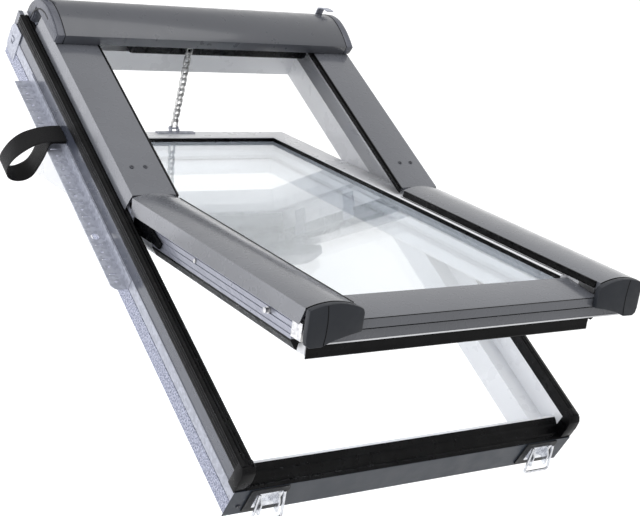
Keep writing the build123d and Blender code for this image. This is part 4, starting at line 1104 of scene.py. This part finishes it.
@dataclass
class ScrewHeads:
    """Flat round screw heads with a cross recess."""

    radius: float = 0.0042
    height: float = 0.0016
    recess: float = 0.0023
    slit: float = 0.0005
    cladding: tuple[float, float] = (0.297, 0.325)
    cladding_place: tuple[float, float] = (0.076, 0.1542)
    cover_place: Point = (0.348, -0.590, 0.022)
    sash_place: Point = (0.332, -0.219, -0.033)

    def pattern(self) -> bpy.types.Object:
        """Model one head standing on the origin along Z."""
        Bench.clear()
        bpy.ops.mesh.primitive_cylinder_add(vertices=20, radius=self.radius, depth=self.height,
                                            location=(0, 0, self.height / 2))
        head = bpy.context.object
        Bench.settle(head)
        Bench.modify(head, "BEVEL", width=0.0006, segments=3, limit_method="ANGLE")
        for x, y in ((self.recess, self.slit), (self.slit, self.recess)):
            cutter = Bench.box("recess", (-x, -y, 0.0009), (x, y, 0.003), 0)
            Bench.modify(head, "BOOLEAN", object=cutter, operation="DIFFERENCE", solver="EXACT")
            bpy.data.objects.remove(cutter)
        return head

    @staticmethod
    def at(side: Side, place: Point) -> Matrix:
        """Matrix that moves a head to a place on one side of the window."""
        return Matrix.Translation((side.value * place[0], place[1], place[2]))

    def build(self) -> list[bpy.types.Object]:
        """Set the heads on the claddings, the cover and the sash sides."""
        head = self.pattern()
        front = Matrix.Rotation(math.pi / 2, 4, "X")
        places = []
        for side in Side:
            turn = Matrix.Rotation(side.value * math.pi / 2, 4, "Y")
            for x in self.cladding:
                places.append((self.at(side, (x, *self.cladding_place)), Body.FRAME))
            places.append((self.at(side, self.cover_place) @ front, Body.FRAME))
            places.append((opened_frame() @ self.at(side, self.sash_place) @ turn, Body.SASH))
        made = []
        for body in Body:
            heads = [Bench.copy(head, place, f"head_{index}")
                     for index, (place, owner) in enumerate(places) if owner is body]
            group = Bench.join(heads, f"{body.value}_screw_heads")
            Bench.smooth(group, 30)
            stands_for = ("frame_screws",) if body is Body.FRAME else ()
            made.append(Bench.dress(group, "chain_steel", body, *stands_for))
        bpy.data.objects.remove(head)
        return made


@dataclass
class StudioCamera:
    """Camera at the photograph's viewpoint."""

    place: Point = (-1.536, -1.644, 1.7865)
    turn: Point = (48.471, -22.226, -27.1416)
    lens: float = 80.6
    sensor: float = 36.0

    def build(self) -> bpy.types.Object:
        """Make the camera and let the scene use it."""
        data = bpy.data.cameras.new("view")
        data.lens, data.sensor_width, data.sensor_fit = self.lens, self.sensor, "HORIZONTAL"
        data.clip_start, data.clip_end = 0.05, 60
        camera = bpy.data.objects.new("view", data)
        bpy.context.scene.collection.objects.link(camera)
        camera.location = self.place
        camera.rotation_euler = [math.radians(a) for a in self.turn]
        bpy.context.scene.camera = camera
        return camera


@dataclass
class SoftLamp:
    """A large soft lamp turned to a point."""

    name: str
    place: Point
    aim: Point
    size: tuple[float, float]
    power: float
    colour: Colour = (1.0, 1.0, 1.0)

    def build(self) -> bpy.types.Object:
        """Make the lamp."""
        data = bpy.data.lights.new(self.name, "AREA")
        data.shape, data.size, data.size_y = "RECTANGLE", self.size[0], self.size[1]
        data.energy, data.color = self.power, self.colour
        lamp = bpy.data.objects.new(self.name, data)
        bpy.context.scene.collection.objects.link(lamp)
        lamp.location = self.place
        ahead = Vector(self.aim) - Vector(self.place)
        lamp.rotation_mode = "QUATERNION"
        lamp.rotation_quaternion = ahead.to_track_quat("-Z", "Y")
        return lamp


@dataclass
class ReflectedCard:
    """A bright card that is seen only in reflections, as beside a product photograph."""

    name: str
    low: tuple[float, float]
    high: tuple[float, float]
    height: float
    strength: float

    def build(self) -> bpy.types.Object:
        """Lay the card flat at its height."""
        Bench.clear()
        middle = [(a + b) / 2 for a, b in zip(self.low, self.high)]
        bpy.ops.mesh.primitive_plane_add(size=1, location=(*middle, self.height))
        card = bpy.context.object
        card.name = self.name
        card.scale = (self.high[0] - self.low[0], self.high[1] - self.low[1], 1)
        Bench.settle(card)
        board = NodeBoard(self.name)
        glow = board.add("ShaderNodeEmission")
        glow.inputs["Color"].default_value = (0.94, 0.95, 1.0, 1)
        glow.inputs["Strength"].default_value = self.strength
        board.join(glow.outputs["Emission"], board.output.inputs["Surface"])
        card.data.materials.append(board.material)
        card.visible_camera = card.visible_diffuse = card.visible_shadow = False
        card.visible_transmission = False
        return card


@dataclass
class Studio:
    """Pale floor, white surroundings and soft lamps."""

    floor_height: float = -0.42
    floor_lift: float = 0.26
    ambient: float = 0.66
    cards: tuple[ReflectedCard, ...] = (
        ReflectedCard("upper_card", (-2.4, 0.40), (-0.72, 1.9), -0.405, 3.0),
        ReflectedCard("lower_card", (-2.4, -0.10), (-0.95, 0.40), -0.405, 3.0),
    )
    lamps: tuple[SoftLamp, ...] = (
        SoftLamp("ceiling", (0.2, 0.6, 3.2), (0.0, 0.0, 0.0), (3.0, 3.0), 62.0),
        SoftLamp("left_wall", (-3.2, -0.4, 0.9), (-0.2, 0.1, 0.1), (3.2, 2.2), 46.0, (0.95, 0.96, 1.0)),
    )

    def floor(self) -> bpy.types.Object:
        """Lay the floor, pale to the camera and with the object's shadow."""
        Bench.clear()
        bpy.ops.mesh.primitive_plane_add(size=24, location=(0, 0, self.floor_height))
        floor = bpy.context.object
        floor.name = "studio_floor"
        board = NodeBoard("studio_floor")
        shader = board.shader(0.9, 0.0, 0.0, 0.1, 0.1)
        board.join(board.ramp(board.noise(3, 2), (0.90, 0.90, 0.90), (0.94, 0.94, 0.94)),
                   shader.inputs["Base Color"])
        lift = board.add("ShaderNodeEmission")
        lift.inputs["Strength"].default_value = self.floor_lift
        nothing = board.add("ShaderNodeEmission")
        nothing.inputs["Strength"].default_value = 0.0
        mix = board.add("ShaderNodeMixShader")
        both = board.add("ShaderNodeAddShader")
        board.join(background_rays(board.tree), mix.inputs[0])
        board.join(nothing.outputs["Emission"], mix.inputs[1])
        board.join(lift.outputs["Emission"], mix.inputs[2])
        board.join(shader.outputs["BSDF"], both.inputs[0])
        board.join(mix.outputs["Shader"], both.inputs[1])
        board.join(both.outputs["Shader"], board.output.inputs["Surface"])
        floor.data.materials.append(board.material)
        return floor

    def surroundings(self) -> None:
        """White to the camera, in reflections and through glass, and a plain level of light elsewhere."""
        world = bpy.data.worlds.new("studio")
        bpy.context.scene.world = world
        world.use_nodes = True
        tree = world.node_tree
        tree.nodes.clear()
        output = tree.nodes.new("ShaderNodeOutputWorld")
        mix = tree.nodes.new("ShaderNodeMixShader")
        light = tree.nodes.new("ShaderNodeBackground")
        seen = tree.nodes.new("ShaderNodeBackground")
        light.inputs["Color"].default_value = (1, 1, 1, 1)
        light.inputs["Strength"].default_value = self.ambient
        seen.inputs["Color"].default_value = (1, 1, 1, 1)
        seen.inputs["Strength"].default_value = 1.0
        tree.links.new(background_rays(tree), mix.inputs[0])
        tree.links.new(light.outputs[0], mix.inputs[1])
        tree.links.new(seen.outputs[0], mix.inputs[2])
        tree.links.new(mix.outputs[0], output.inputs["Surface"])

    def build(self) -> None:
        """Set the studio up."""
        self.floor()
        self.surroundings()
        for fitting in (*self.lamps, *self.cards):
            fitting.build()
        bpy.context.scene.view_settings.view_transform = "Standard"


def main() -> None:
    """Build the camera, the pieces and the studio in order."""
    logging.basicConfig(level=logging.INFO)
    StudioCamera().build()
    Wardrobe.dress_nodes()
    for part in (DriveChain(), LiftingStrap()):
        piece = part.build()
        LOG.info("%s has %d faces", piece.name, len(piece.data.polygons))
    for group in (HoodShell(), RidgeSeals(), SashTrim(), ScrewHeads()):
        for piece in group.build():
            LOG.info("%s has %d faces", piece.name, len(piece.data.polygons))
    Studio().build()


if __name__ == "__main__":
    main()
